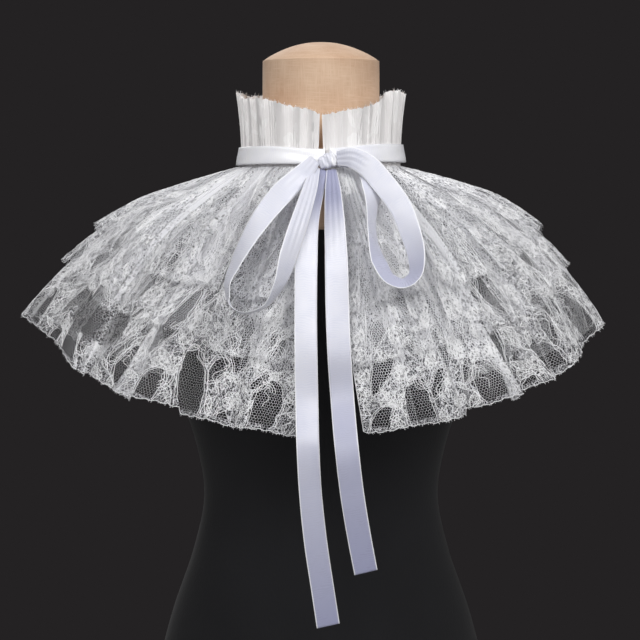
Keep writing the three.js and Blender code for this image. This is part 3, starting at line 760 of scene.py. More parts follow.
def cordonnet_material():
    """A soft spun white thread: matt, and a little brighter than the net because it is round."""
    material, tree = new_material("white_cordonnet_thread")
    place = node(tree, "TexCoord").outputs["Object"]
    # The plies' twist, 900 to the metre.
    twist = node(tree, "TexNoise", {"Vector": place, "Scale": 900.0, "Detail": 2.0}).outputs["Fac"]
    shade = node(tree, "Mix", {0: twist, 6: srgb("f4f4f5"), 7: srgb("e8e8eb")}, data_type="RGBA")
    raised = node(tree, "Bump", {"Height": twist, "Strength": 0.3, "Distance": 0.0003})
    shade_by(tree, {
        "Base Color": shade.outputs[2], "Normal": raised, "Roughness": 0.8, "Sheen Weight": 0.2,
    })
    return material


cordonnet = cordonnet_material()
# A ray may pass this many layers of thread and gap before it turns black.
bpy.context.scene.cycles.transparent_max_bounces = 48

# %% [markdown]
# ## The three tiers
#
# Each tier is a gathered strip of one layer of cloth, so it is one sheet with no thickness of its
# own; its outline threads and the lashes of its hem are real threads lying on it. The strip is far
# longer than the neckline. Gathers and folds take up part of the spare. The rest is tucked in
# behind the folds, so the pattern breaks off at the foot of a fold and goes on further along the
# strip, as it does where cloth overlaps. Tucked and doubled cloth shows through the top layer, so
# the threads are drawn thicker there.

# %% Make the tiers
TIER_COLUMNS = 1060
ROW_STEP = 3.2
SCALLOP = {"pitch": 11.0, "depth": 1.5, "drift": 1.8}
# Lashes: mm from one to the next, shortest and longest, width and height of the thread, and how
# far they sway along the hem and out from it, as shares of their length.
LASH = {
    "pitch": 2.6, "least": 0.5, "most": 2.4, "width": 0.34, "rise": 0.25, "sway": 0.5, "out": 0.25,
}
CHART_SHIFT = 37  # mm that each tier's chart is moved, so that two tiers' windows don't meet
CORDONNET = {"width": 0.51, "rise": 0.34}
# Tucked cloth shows through beside a fold's leading edge over this share of its width and this
# many mm for each degree of lean. It makes threads look `thicker` by that factor, and cloth that
# is drawn up makes them thicker by its fullness to the power of `spread`.
UNDERLAY = {"share": 0.22, "lean": 0.9, "thicker": 2.0, "spread": 1.25}
DRAWN_UP = 1.3  # mm of cloth that the gathers take up in each mm of a fold, where there is enough
ACROSS_FOLD = (0.72, 1.22)  # how thick threads look at a fold's sunken side and its leading edge
HEM_THREADS = 0.58  # how thick they look at the hem, where nothing presses the cloth together
# Threads are at full thickness 1/1.6 of the way up from the hem, and doubled folds 1/3.2 of it.
HEM_OPEN = 1.6
HEM_DOUBLED = 3.2
# Folds that lie doubled, and ones where the cloth is stretched open: how thick threads look. The
# folds are named by their place round the strip.
CLOSE_FOLDS = {
    10: 2.3, 24: 2.5, 37: 3.3, 50: 0.65, 63: 0.8, 117: 1.3, 199: 1.4, 240: 1.3,
    292: 2.2, 306: 0.85, 319: 1.15, 332: 0.8, 347: 1.9,
}
FOLD_EDGES = np.array([0] + [(a[0] + b[0]) / 2 for a, b in zip(FOLDS, FOLDS[1:])] + [360])
FOLD_LEANS = np.array([fold[LEANS] for fold in FOLDS])
FOLD_CLOSE = np.array([CLOSE_FOLDS.get(fold[0], 1.0) for fold in FOLDS])
HEM_SHORT = 3  # mm that the mean edge lies above the nominal one
HEM_STEP = 0.7  # mm that a fold's leading side hangs lower, for each degree of its lean


def hem_extra(u, tier, edges):
    """How far the cut edge of the lace reaches past its nominal length, mm. `edges` are the
    places on the strip where one fold ends and the next begins."""
    scallop = SCALLOP["depth"] * np.abs(np.sin(np.pi * u / SCALLOP["pitch"]))
    wander = SCALLOP["drift"] * np.sin(u / 31.0) * np.sin(u / 12.7 + 1)
    at = np.stack([edges[:-1] + 0.5, edges[1:] - 0.5], axis=1).ravel()
    drop = HEM_STEP * np.stack([-FOLD_LEANS, FOLD_LEANS], axis=1).ravel()
    wander = wander + tier["wander"] * np.sin(u / 47 + tier["shift"]) * np.cos(u / 111)
    return scallop + wander + np.interp(u, at, drop) - HEM_SHORT


def tuck_table(tier_index, along, down, edges):
    """For each fold its first and last column, and how much cloth a column shows in each row.
    The rest of the fold's cloth is tucked in behind it."""
    strip = TIERS[tier_index]["strip"]
    places = tier_cloth(tier_index, along, down, gathers=0.0)
    columns = places.shape[0] - 1
    first = np.rint(edges[:-1] / strip * columns).astype(int)
    last = np.append(first[1:] - 1, columns)
    step = np.linalg.norm(np.diff(places, axis=0), axis=-1)
    run = np.concatenate([np.zeros((1, places.shape[1])), np.cumsum(step, axis=0)])
    shown = DRAWN_UP * (run[last] - run[first]) / (last - first)[:, None]
    return first, last, np.minimum(shown, strip / columns)


def write_lace(piece, pick, u, v, window, motif, fullness):
    """Stores each vertex's place on the flat cloth, its distances from the chart's edges, and
    how much cloth is drawn up there."""
    store(piece, "lace", np.stack([u, v, window], axis=-1)[pick])
    store(piece, "motif", motif[pick])
    store(piece, "fullness", fullness[pick])


def tier_grid(tier_index, columns):
    """Places on the tier, rows counted up from the hem, and where on the strip its folds meet."""
    tier = TIERS[tier_index]
    rows = int(round(tier["length"] / ROW_STEP))
    fine = np.linspace(0, 360, 6 * columns + 1)
    hem = tier_cloth(tier_index, fine, np.full_like(fine, tier["length"]), gathers=0.0)
    length = np.concatenate([[0], np.cumsum(np.linalg.norm(np.diff(hem, axis=0), axis=1))])
    even = np.interp(np.linspace(0, length[-1], columns + 1), length, fine)
    u = np.linspace(0, tier["strip"], columns + 1)[:, None]
    edges = np.interp(FOLD_EDGES, even, u[:, 0])
    share = 1 - np.linspace(0, 1, rows + 1)[None, :]
    down = (tier["length"] + hem_extra(u, tier, edges)) * share
    along = np.broadcast_to(even[:, None], down.shape)
    print("hem of", tier["name"], "mm:", round(length[-1]))
    return along, down, edges


def tucked_place(tucks, strip):
    """For every column and row: the place on the strip, and how thick its threads look."""
    first, last, shown = tucks
    columns = last[-1]
    column = np.arange(columns + 1)[:, None]
    fold = np.searchsorted(first, column[:, 0], side="right") - 1
    middle = ((first + last) / 2)[fold][:, None]
    shown = shown[fold]
    u = middle * strip / columns + (column - middle) * shown
    full = strip / columns / shown
    lean = FOLD_LEANS[fold][:, None]
    lead = np.where(lean > 0, last[fold][:, None] - column, column - first[fold][:, None])
    hidden = (last - first)[fold][:, None] * (strip / columns - shown)
    under = lead * shown < UNDERLAY["share"] * hidden + UNDERLAY["lean"] * np.abs(lean)
    up = np.linspace(0, 1, full.shape[1])[None, :]
    close = mix(1.0, FOLD_CLOSE[fold][:, None], np.clip(HEM_DOUBLED * up, 0, 1))
    close = close * mix(HEM_THREADS, 1.0, np.clip(HEM_OPEN * up, 0, 1))
    close = close * mix(ACROSS_FOLD[1], ACROSS_FOLD[0], lead / (last - first)[fold][:, None])
    return u, close * full ** UNDERLAY["spread"] * np.where(under, UNDERLAY["thicker"], 1.0)


# A place near the wearer's right shoulder tip that shows only net, mm: its middle on the strip,
# half width and half height. Its rim is soft over the next figure.
BARE_PLACE = (1430, 213, 44, 26)
BARE_RIM = 4


def bare_distance(u, v):
    """Millimetres inside the edge of the bare place, less than 0 outside it."""
    x, y, a, b = BARE_PLACE
    size = (np.abs((u - x) / a) ** 3 + np.abs((v - y) / b) ** 3) ** (1 / 3)
    return (1 - size) * b


def outline_runs(places, normals, tucks, edges, tier, chart_shift):
    """Every outline of the repeat, over the whole strip, where its cloth isn't tucked away."""
    first, last, shown = tucks
    strip, length = tier["strip"], tier["length"]
    columns, rows = places.shape[0] - 1, places.shape[1] - 1
    across = np.arange(-1, int(strip / REPEAT["width"]) + 2) * REPEAT["width"]
    downwards = np.arange(-1, int(length / REPEAT["height"]) + 3) * REPEAT["height"]
    shift = np.stack(np.meshgrid(across, downwards), axis=-1).reshape(-1, 1, 2)
    runs = []
    for line in OUTLINES:
        chart = line[None] + shift
        u, v = on_cloth(chart[..., 0], chart[..., 1])
        u, v = u + 0.5 * np.sin(1.9 * v + 0.7 * u), v + 0.5 * np.sin(1.7 * u) - chart_shift
        row = rows * (1 - v / (length + hem_extra(u, tier, edges)))
        kept = (u > 0) & (u < strip) & (row > 0) & (row < rows) & (v > tier["covered"])
        if tier is TIERS[0]:
            kept &= bare_distance(u, v) < 0
        some = kept.any(axis=1)
        u, row, kept = u[some], np.clip(row[some], 0, rows), kept[some]
        fold = np.clip(np.searchsorted(first, columns * u / strip, side="right") - 1, 0, len(first) - 1)
        middle = ((first + last) / 2)[fold]
        away = (u - middle * strip / columns) / shown[fold, np.rint(row).astype(int)]
        kept &= np.abs(away) < ((last - first) / 2)[fold]
        column = middle + away
        runs.append((on_grid(places, column, row), on_grid(normals, column, row), kept))
    return runs


def border_runs(places, normals, corded):
    """The thread along the two front edges, and along a corded hem."""
    runs = []
    for edge in ((0, slice(None)), (-1, slice(None)), (slice(None), 0))[: 3 if corded else 2]:
        line = places[edge][None]
        runs.append((line, normals[edge][None], np.ones(line.shape[:2], bool)))
    return runs


def lash_run(places, normals, seed):
    """The lashes of a hem, which is the grid's first row."""
    draw = np.random.default_rng(seed)
    hem, facing = places[:, 0], normals[:, 0]
    drop = hem - places[:, 1]
    drop /= np.maximum(np.linalg.norm(drop, axis=-1, keepdims=True), 1e-9)
    aside = np.cross(facing, drop)
    step = np.concatenate([[0], np.cumsum(np.linalg.norm(np.diff(hem, axis=0), axis=-1))])
    at = np.arange(1, step[-1] - 1, LASH["pitch"])
    at = at + draw.uniform(-0.5, 0.5, len(at))
    pick = np.rint(np.interp(at, step, np.arange(len(step)))).astype(int)
    long = draw.uniform(LASH["least"], LASH["most"], len(at))[:, None]
    lean = draw.uniform(-LASH["sway"], LASH["sway"], len(at))[:, None]
    out = draw.uniform(-LASH["out"], LASH["out"], len(at))[:, None]
    root = hem[pick]
    tip = root + long * (drop[pick] + lean * aside[pick] + out * facing[pick])
    half = root + 0.5 * long * (drop[pick] + 0.4 * lean * aside[pick])
    lashes = np.stack([root, half, tip], axis=1)
    upright = np.repeat(facing[pick][:, None], 3, axis=1)
    return [(lashes, upright, np.ones(lashes.shape[:2], bool))]


for tier_index, tier in enumerate(TIERS):
    along, down, edges = tier_grid(tier_index, TIER_COLUMNS)
    places = tier_cloth(tier_index, along, down)
    tucks = tuck_table(tier_index, along, down, edges)
    u, fullness = tucked_place(tucks, tier["strip"])
    normals = face_of(places)
    piece, column, row = grid_piece("lace_" + tier["name"], places, lace)
    chart_shift = CHART_SHIFT * tier_index
    border = tier["length"] - tier["band"] - down
    window = np.minimum(window_distance(u, down + chart_shift), border)
    motif = motif_distance(u, down + chart_shift)
    if tier_index == 0:
        bare = bare_distance(u, down)
        window, motif = np.maximum(window, bare), np.maximum(motif, bare)
        fullness = fullness * mix(1.0, 0.5, np.clip(bare / BARE_RIM, 0, 1))
    write_lace(piece, (column, row), u, down, window, motif, fullness)
    dress(piece, "lace", tier["name"])

    runs = outline_runs(places, normals, tucks, edges, tier, chart_shift)
    runs += border_runs(places, normals, corded=tier_index == 0)
    cords = thread_piece("outlines_" + tier["name"], runs, CORDONNET, cordonnet)
    dress(cords, "lace")
    lashes = lash_run(places, normals, seed=11 + tier_index)
    fringe = thread_piece("lashes_" + tier["name"], lashes, LASH, cordonnet)
    dress(fringe, "lace")
    print(piece.name, triangles_of(piece), "outlines", triangles_of(cords), "lashes", triangles_of(fringe))
    print("threads at hem and seam, times their own width:", np.round(fullness.mean(axis=0)[[0, -1]], 2))

# %% [markdown]
# ## The neck frill
#
# A narrower strip of the same lace stands up from the seam. It is drawn up hardest at its foot,
# under the ribbon, and opens a little towards its frayed rim. The large gathers are the solid's
# own. Fine upright pleats run between them, close enough that the layers make it nearly opaque,
# so its threads are drawn wide. In front the rim stands up unevenly, and the front ends lap over
# the sides.

# %% Make the frill
# Heights at side, front and back, the solid's gathers and how unevenly they are spread, how far
# they stand out, the opening in front in degrees, the flat strip's length, and how much is tucked
# under the ribbon.
FRILL = {
    "side": 70, "front": 47, "back": 75, "gathers": 30, "uneven": 0.35, "uneven_waves": 5,
    "ease": 1.5, "flare": 2, "depth_seam": 1.0, "depth_top": 4.5, "swell": 1.3, "growth": 2.2,
    "open_seam": 2.2, "open_top": 0.6, "strip": 690, "tucked": 6,
}
# Fine pleats: how many, how deep at foot and rim, mm, and how far each bulges over its own foot,
# as a share of its width.
PLEATS = {"count": 158, "foot": 0.45, "rim": 0.6, "bulge": 0.10}
# How much higher than its even curve the rim stands in front: (degrees, mm).
RIM_RISE = [(0, 0), (12, 2), (20, 4.5), (34, 6), (43, 6), (49, 11), (62, 9), (80, 3), (95, 0),
            (265, 0), (300, 3), (311, 6), (332, 9), (345, 9), (352, 7), (357, 3), (360, 2)]
# Where the front of the frill laps over its sides: share of the way round, width and height.
LAPS = {"right": 0.103, "left": 0.861, "width": 0.075, "height": 2.6}
FRILL_COLUMNS = 1240
FRILL_ROWS = 22
FRILL_CHART = 20  # mm that its chart is moved
ALL_CLOTHWORK = -5  # its distance from a window, which it has none of


def seam_top(degrees):
    point, normal = cape_base(degrees, np.zeros_like(degrees))
    return point[..., 2] + normal[..., 2] * (2 * (WALL + SEAM) + WALL)


def frill_height(degrees):
    front = np.cos(np.radians(degrees))
    before = mix(FRILL["side"], FRILL["front"], np.maximum(front, 0) ** 1.5)
    behind = mix(FRILL["side"], FRILL["back"], np.maximum(-front, 0))
    rise = np.interp(np.mod(degrees, 360), *np.transpose(RIM_RISE))
    return np.where(front > 0, before, behind) + rise


def frill_cloth(along, share):
    turn = 2 * np.pi * along
    drift = FRILL["uneven"] * np.sin(FRILL["uneven_waves"] * turn)
    gather = 0.5 - 0.5 * np.cos(2 * np.pi * (FRILL["gathers"] * along + drift))
    phase = PLEATS["count"] * turn + 2.4 * np.sin(9 * turn + 0.7) + 1.3 * np.sin(23 * turn + 2.9 * share)
    uneven = 0.6 + 0.35 * np.sin(31 * turn + 0.4) * np.cos(13 * turn)
    uneven = np.clip(uneven + 0.3 * np.sin(19 * turn + 2), 0.15, 1)
    pleat = mix(PLEATS["foot"], PLEATS["rim"], share) * uneven
    shifted = np.clip(along + PLEATS["bulge"] / PLEATS["count"] * np.sin(2 * phase), 0, 1)
    opening = mix(FRILL["open_seam"], FRILL["open_top"], share)
    degrees = mix(opening, 360 - opening, shifted)
    depth = mix(FRILL["depth_seam"], FRILL["depth_top"], share ** FRILL["growth"])
    out = FRILL["ease"] + FRILL["flare"] * share ** FRILL["growth"] + depth * gather + 0.5 * WALL
    out = out - 0.5 * pleat * (0.55 * np.cos(phase) + 0.45 * np.cos(0.41 * phase + 1))
    right = np.where(along < LAPS["right"], 1 - (LAPS["right"] - along) / LAPS["width"], 0)
    left = np.where(along > LAPS["left"], 1 - (along - LAPS["left"]) / LAPS["width"], 0)
    out = out + LAPS["height"] * share * np.maximum(0, np.maximum(right, left))
    radius = ellipse_radius(NECKLINE["half_width"], NECKLINE["half_depth"], degrees) + out
    place = outward(degrees) * radius[..., None]
    ragged = 0.5 * np.sin(61 * turn) + 0.4 * np.sin(97 * turn + 1.0) + 1.6 * np.sin(7 * turn + 0.6)
    foot = SEAM - FRILL["tucked"]
    place[..., 2] = seam_top(degrees) + foot + share * (frill_height(degrees) + ragged - foot)
    return place


frill_along, frill_share = np.meshgrid(
    np.linspace(0, 1, FRILL_COLUMNS + 1), np.linspace(0, 1, FRILL_ROWS + 1), indexing="ij"
)
frill_places = frill_cloth(frill_along, frill_share)
frill_normals = face_of(frill_places)
frill, column, row = grid_piece("lace_neck_frill", frill_places, frill_lace_painted_light)
frill_u = frill_along * FRILL["strip"]
frill_v = (1 - frill_share) * FRILL["side"]
write_lace(
    frill, (column, row), frill_u, frill_v, 0 * frill_u + ALL_CLOTHWORK,
    motif_distance(frill_u, frill_v + FRILL_CHART), np.ones_like(frill_u),
)
dress(frill, "lace", "neck_frill")
frill_lashes = lash_run(frill_places[:, ::-1], -frill_normals[:, ::-1], seed=5)
rim = thread_piece("lashes_neck_frill", frill_lashes, LASH, cordonnet)
dress(rim, "lace")
print(frill.name, triangles_of(frill), "rim", triangles_of(rim))


# %% [markdown]
# ## Satin ribbon
#
# Single-faced polyester satin: long floats of warp lie along the ribbon, so it is smooth, and its
# highlight is broad and clean. The ribbon is dyed a white with a cool lilac cast, and where it turns
# from the light a deeper lilac is painted on as shade. The weft shows as faint lines across. The
# real ones lie a few tenths of a millimetre apart, which is too fine to show, so they are drawn
# 2.2 mm apart. The selvedge is a firmer line down each edge.

# %% Satin material
WEFT = 2.2  # mm between the lines across
WEFT_STRAY = 9.0  # mm that they wander
SELVEDGE = (9.8, 10.4)  # mm from the middle line where the firm edge begins and is full


def satin_material(name, light, shade):
    """Satin between two hues, with a painted lilac shade where the ribbon's third value says so."""
    material, tree = new_material(name)
    strip = node(tree, "Attribute", attribute_name="ribbon").outputs["Vector"]
    parts = node(tree, "SeparateXYZ", {0: strip})
    flat = node(tree, "CombineXYZ", {0: parts.outputs[0], 1: parts.outputs[1]})
    water = node(tree, "TexNoise", {"Vector": flat, "Scale": 0.07, "Detail": 2.0}).outputs["Fac"]
    strayed = {0: water, 1: WEFT_STRAY, 2: parts.outputs[0]}
    along = node(tree, "Math", strayed, operation="MULTIPLY_ADD")
    turns = node(tree, "Math", {0: along, 1: 2 * math.pi / WEFT}, operation="MULTIPLY")
    weft = node(tree, "Math", {0: turns}, operation="SINE")
    cloudy = node(tree, "Math", {0: weft, 1: 0.18, 2: water}, operation="MULTIPLY_ADD")
    away = node(tree, "Math", {0: parts.outputs[1]}, operation="ABSOLUTE")
    selvedge = node(tree, "MapRange", {0: away, 1: SELVEDGE[0], 2: SELVEDGE[1], 3: 0.0, 4: 1.0})
    colour = node(tree, "Mix", {0: cloudy, 6: srgb(light), 7: srgb(shade)}, data_type="RGBA")
    # The ribbon's third value lays on painted shade in lilac 9a9cb8; the selvedge gets its own paler colour.
    for share, painted_shade_and_selvedge in ((parts.outputs[2], "9a9cb8"), (selvedge, "f4f4f8")):
        layered = {0: share, 6: colour.outputs[2], 7: srgb(painted_shade_and_selvedge)}
        colour = node(tree, "Mix", layered, data_type="RGBA")
    height = node(tree, "Math", {0: selvedge, 1: 0.9, 2: cloudy}, operation="MULTIPLY_ADD")
    raised = node(tree, "Bump", {"Height": height, "Strength": 0.3, "Distance": 0.0002})
    gloss = node(tree, "MapRange", {0: cloudy, 1: 0.3, 2: 0.7, 3: 0.27, 4: 0.36})
    shade_by(tree, {
        "Base Color": colour.outputs[2], "Normal": raised, "Roughness": gloss,
        "Specular IOR Level": 0.5, "Sheen Weight": 0.2, "Sheen Roughness": 0.35,
    })
    return material


satin = satin_material("lilac_white_satin_ribbon", "e7e7ee", "d3d5e3")
# The neck ribbon is the same satin in whiter colours: painted light, so that it reads brighter than the lamps
# make it.
painted_light_neck_satin = satin_material("white_satin_neck_ribbon_painted_light", "ffffff", "f3f3fb")

# %% [markdown]
# ## The ribbon's route
#
# The bow is one ribbon bent through the air, so each loop and tail is a strip that follows a
# smooth curve through its stations, with a width and a turn of its face at each. The stations
# are the solids' own. Where no depth is given, the ribbon lies just in front of the furthest lace
# round that place.

# %% The ribbon's tables
# `thickness` is the solid's and `real` the ribbon's own. It lies `lift` in front of the furthest
# lace within `reach`.
RIBBON = {
    "width": 22, "thickness": 1.2, "lift": 1.6, "reach": 15, "step": 1.6, "rows": 12, "real": 0.45,
}
# Each route's stations: x, z, share of the width, turn in degrees, and depth in front of the lace,
# or the place itself after a y.
LOOP_LEFT = """-6.1 603.2 .55 0 y-87.5; -17 590 .85 3 12; -35 573 1 8 12; -52 553 1 24 9; -67 530 1 44 5;
 -79 507 1 62 3; -87 485 1 76 2; -83 467 1 82 2; -67 461 1 84 3; -50 468 1 78 4; -39 486 1 62 4;
 -31 510 1 42 7; -24 532 .9 32 11; -16 557 .75 20 13; -10 577 .62 8 12; -5.6 596 .42 0 y-88"""
LOOP_RIGHT = """15.2 604.5 .62 0 y-88; 29 605 .9 2 14; 44 597 1 4 16; 60 579 1 8 16; 74 559 1 12 13;
 83 536 1 24 8; 88.5 513 1 44 4; 87 496 1 62 2; 77 488 1 70 2; 64 492 1 62 2; 54.5 507 1 50 1;
 49 528 1 66 0; 47.5 550 1 66 0; 48 573 1 40 0; 44 591 .8 12 0; 32 599 .5 4 0; 15.2 599 .2 0 y-84.5"""
TAIL_LEFT = """2.8 593.5 .42 0 y-85; -5 572 .75 -14 0; -11.5 544 .92 -18 0; -13.8 508 1 -18 0;
 -14.2 470 1 -18 0; -14 426 1 -16 0; -13.2 382 1 -16 0; -12 340 1 -18 y-198; -9.6 296 1 -20 y-198;
 -4.8 250 1 -18 y-196; 1.4 208 1 -16 y-193; 6.6 173 1 -14 y-190"""
TAIL_RIGHT = """10.2 593.7 .42 0 y-86; 11.2 572 .75 22 0; 12.6 544 .95 24 0; 14.2 508 1 12 0;
 15 470 1 4 0; 16.6 426 1 2 0; 19.6 382 1 0 0; 23.2 340 1 -3 y-199; 28.4 296 1 -5 y-199;
 34.6 258 1 -8 y-196; 41.2 223 1 -10 y-193"""


# %% Helpers for ribbons
def outer_lace():
    """Points of the tiers' outer walls near the centre front, which the ribbon lies on."""
    points = []
    for tier_index, tier in enumerate(TIERS):
        down, along = np.meshgrid(np.arange(0, tier["length"] + 1, 6.0), np.arange(-42, 42.1, 1.5))
        wall = tier_face(tier_index, np.mod(along, 360), down, 1.0)
        points.append(wall.reshape(-1, 3))
    return np.concatenate(points)


OUTER_LACE = outer_lace()
RING_OUT = FRILL["ease"] + FRILL["depth_seam"] + FRILL["swell"] + WALL + SEAM


def lace_front(x, z):
    near = (np.abs(OUTER_LACE[:, 0] - x) < RIBBON["reach"]) & (np.abs(OUTER_LACE[:, 2] - z) < RIBBON["reach"])
    seam_front = -(NECKLINE["half_depth"] + RING_OUT + RIBBON["thickness"])
    return min([seam_front, *OUTER_LACE[near, 1]])


def stations(text):
    """Middle points, width shares and turns of a route's stations."""
    middles, shares, turns = [], [], []
    for line in text.split(";"):
        x, z, share, turn, depth = line.split()
        x, z, share, turn = float(x), float(z), float(share), float(turn)
        if depth.startswith("y"):
            y = float(depth[1:])
        else:
            half_across = 0.5 * RIBBON["width"] * share * math.sin(math.radians(abs(turn)))
            y = lace_front(x, z) - (RIBBON["lift"] + half_across + float(depth))
        middles.append((x, y, z))
        shares.append(share)
        turns.append(turn)
    return np.array(middles), np.array(shares), np.array(turns)


def smooth_route(points, per_span=40):
    """A curve through the points, and how many stations along it each place is.

    It is the centripetal kind, which neither loops nor overshoots between uneven stations."""
    ends = [2 * points[0] - points[1], *points, 2 * points[-1] - points[-2]]
    places, counts = [], []
    for k in range(len(points) - 1):
        p0, p1, p2, p3 = ends[k : k + 4]
        d0, d1, d2 = (math.sqrt(np.linalg.norm(b - a)) for a, b in ((p0, p1), (p1, p2), (p2, p3)))
        t1 = d1 * ((p1 - p0) / d0 - (p2 - p0) / (d0 + d1) + (p2 - p1) / d1)
        t2 = d1 * ((p2 - p1) / d1 - (p3 - p1) / (d1 + d2) + (p3 - p2) / d2)
        last = k == len(points) - 2
        t = np.linspace(0, 1, per_span + 1)[: None if last else -1, None]
        cubic = 2 * p1 - 2 * p2 + t1 + t2
        square = -3 * p1 + 3 * p2 - 2 * t1 - t2
        places.append(p1 + t1 * t + square * t**2 + cubic * t**3)
        counts.append(k + t[:, 0])
    return np.concatenate(places), np.concatenate(counts)


def evenly(places, values, step):
    """Resamples a curve, and the values along it, to equal steps."""
    length = np.concatenate([[0], np.cumsum(np.linalg.norm(np.diff(places, axis=0), axis=1))])
    at = np.linspace(0, length[-1], int(round(length[-1] / step)) + 1)
    even = np.stack([np.interp(at, length, places[:, k]) for k in range(3)], axis=1)
    return even, [np.interp(at, length, value) for value in values], at


def rotated(vectors, axes, degrees):
    """Turns each vector about its own axis."""
    c, s = np.cos(np.radians(degrees))[:, None], np.sin(np.radians(degrees))[:, None]
    along = (vectors * axes).sum(axis=1, keepdims=True)
    return vectors * c + np.cross(axes, vectors) * s + axes * along * (1 - c)


def ribbon_grid(text, cup, painted_shade_along):
    """Places of a ribbon on its route, and where each is on the flat ribbon, with the painted shade
    that deepens its colour there. The last argument gives that painted shade at shares of the ribbon's
    length."""
    middles, shares, turns = stations(text)
    line, count = smooth_route(middles)
    line, (count,), at = evenly(line, [count], RIBBON["step"])
    share = np.interp(count, np.arange(len(shares)), shares)
    turn = np.interp(count, np.arange(len(turns)), turns)
    tangent = np.gradient(line, axis=0)
    tangent /= np.linalg.norm(tangent, axis=1, keepdims=True)
    facing = np.array([0.0, -1.0, 0.0]) - tangent * -tangent[:, 1:2]
    facing /= np.linalg.norm(facing, axis=1, keepdims=True)
    across = np.cross(tangent, facing)
    facing, across = rotated(facing, tangent, turn), rotated(across, tangent, turn)
    q = np.linspace(1, -1, RIBBON["rows"] + 1)[None, :, None]
    crush = np.sqrt(np.maximum(0, 1 - share**2))[:, None, None]
    wide = 0.5 * RIBBON["width"] * share[:, None, None]
    pleat = 0.55 * crush * np.cos(3.5 * np.pi * q + 0.6)
    ripple = 0.25 * np.sin(at / 21.0)[:, None, None] * q
    bow = cup * (0.5 - q**2)
    places = line[:, None] + across[:, None] * q * wide + facing[:, None] * (pleat + bow + ripple)
    flat = np.zeros_like(places)
    flat[..., 0] = at[:, None]
    flat[..., 1] = 0.5 * RIBBON["width"] * q[..., 0]
    # The third value is painted shade: how far the colour is deepened to lilac along the ribbon.
    flat[..., 2] = np.interp(at / at[-1], *zip(*painted_shade_along))[:, None]
    return places, flat, at[-1]


def satin_piece(name, places, flat, slot_nodes, material=satin):
    piece, column, row = grid_piece(name, places, material)
    store(piece, "ribbon", flat[column, row])
    wall = piece.modifiers.new("thickness", "SOLIDIFY")
    wall.thickness = RIBBON["real"] * MM
    wall.offset = 0
    dress(piece, "satin_ribbon", *slot_nodes)
    return piece


# %% Tie the bow
# For each ribbon: its route, how hollow its face is in mm, and the painted shade that deepens its
# colour at shares of its length, where it turns from the light.
BOW = {
    "bow_loop_left": (
        LOOP_LEFT, 0.5, [(0, 0.1), (0.3, 0.0), (0.45, 0.2), (0.6, 0.1), (0.75, 0.0), (1, 0.2)],
    ),
    "bow_loop_right": (
        LOOP_RIGHT, 0.5,
        [(0, 0.1), (0.2, 0.0), (0.35, 0.1), (0.48, 0.7), (0.6, 0.6), (0.75, 0.1), (1, 0.2)],
    ),
    "ribbon_tail_left": (
        TAIL_LEFT, 0.35, [(0, 1.0), (0.09, 0.8), (0.18, 0.0), (0.45, 0.05), (0.62, 0.35), (1, 1.0)],
    ),
    "ribbon_tail_right": (
        TAIL_RIGHT, 0.35, [(0, 1.0), (0.1, 0.9), (0.2, 0.0), (0.42, 0.1), (0.6, 0.55), (1, 1.0)],
    ),
}
for name, (text, cup, painted_shade_along) in BOW.items():
    places, flat, length = ribbon_grid(text, cup, painted_shade_along)
    piece = satin_piece("satin_" + name, places, flat, [name])
    print(piece.name, "ribbon length, mm:", round(length))

# %% [markdown]
# ## The ribbon round the neck and the knot
#
# The same ribbon lies over the foot of the frill and closes the collar, drawn in to 17.5 mm by
# the pull of the bow. The knot is a short wrap of it round all four ends: a soft barrel with the
# creases of the wrap running round it.

# %% Neck ribbon and knot
NECK_RIBBON = {
    "width": 17.5, "z": 609.5, "roll": 1.5, "dip": 3, "tilt": 3, "gap": 1.5, "at": 4.3,
    "columns": 300, "rows": 8,
}
# Painted shade beside the knot: how far its colour is deepened there.
NECK_PAINTED_SHADE = {"degrees": (0, 12, 32, 52), "depth": (0.0, 0.2, 0.3, 0.0)}
KNOT = {
    "x": 6, "z": 602, "width": 19, "height": 16, "depth": 11, "tilt": 24, "columns": 96, "rows": 48,
}


def neck_ribbon_grid():
    start = NECK_RIBBON["at"] + NECK_RIBBON["gap"]
    stop = 360 + NECK_RIBBON["at"] - NECK_RIBBON["gap"]
    degrees = np.linspace(start, stop, NECK_RIBBON["columns"] + 1)[:, None]
    q = np.linspace(-0.5, 0.5, NECK_RIBBON["rows"] + 1)[None, :]
    at_knot = np.maximum(0, np.cos(np.radians(degrees))) ** 8
    level = NECK_RIBBON["z"] + NECK_RIBBON["roll"] * np.sin(np.radians(degrees))
    middle = level - NECK_RIBBON["dip"] * at_knot
    width = NECK_RIBBON["width"] - NECK_RIBBON["dip"] * at_knot
    crease = 0.3 * np.sin(q * 9 + 3 * np.sin(np.radians(3 * degrees))) * (0.4 + at_knot)
    out = ellipse_radius(NECKLINE["half_width"], NECKLINE["half_depth"], degrees)
    out = out + RING_OUT + 0.5 * RIBBON["thickness"] + 0.8 * (0.25 - q**2) + crease
    out = out + NECK_RIBBON["tilt"] * (0.3 - q)
    places = outward(degrees + 0 * q) * out[..., None]
    places[..., 2] = middle + q * width
    flat = np.zeros_like(places)
    flat[..., 0] = degrees * 1.4
    flat[..., 1] = q * RIBBON["width"]
    # Painted shade beside the knot, in the third value.
    flat[..., 2] = np.interp(degrees, NECK_PAINTED_SHADE["degrees"], NECK_PAINTED_SHADE["depth"])
    return places, flat


places, flat = neck_ribbon_grid()
band = satin_piece("satin_neck_ribbon", places, flat, ["neck_ribbon"], painted_light_neck_satin)

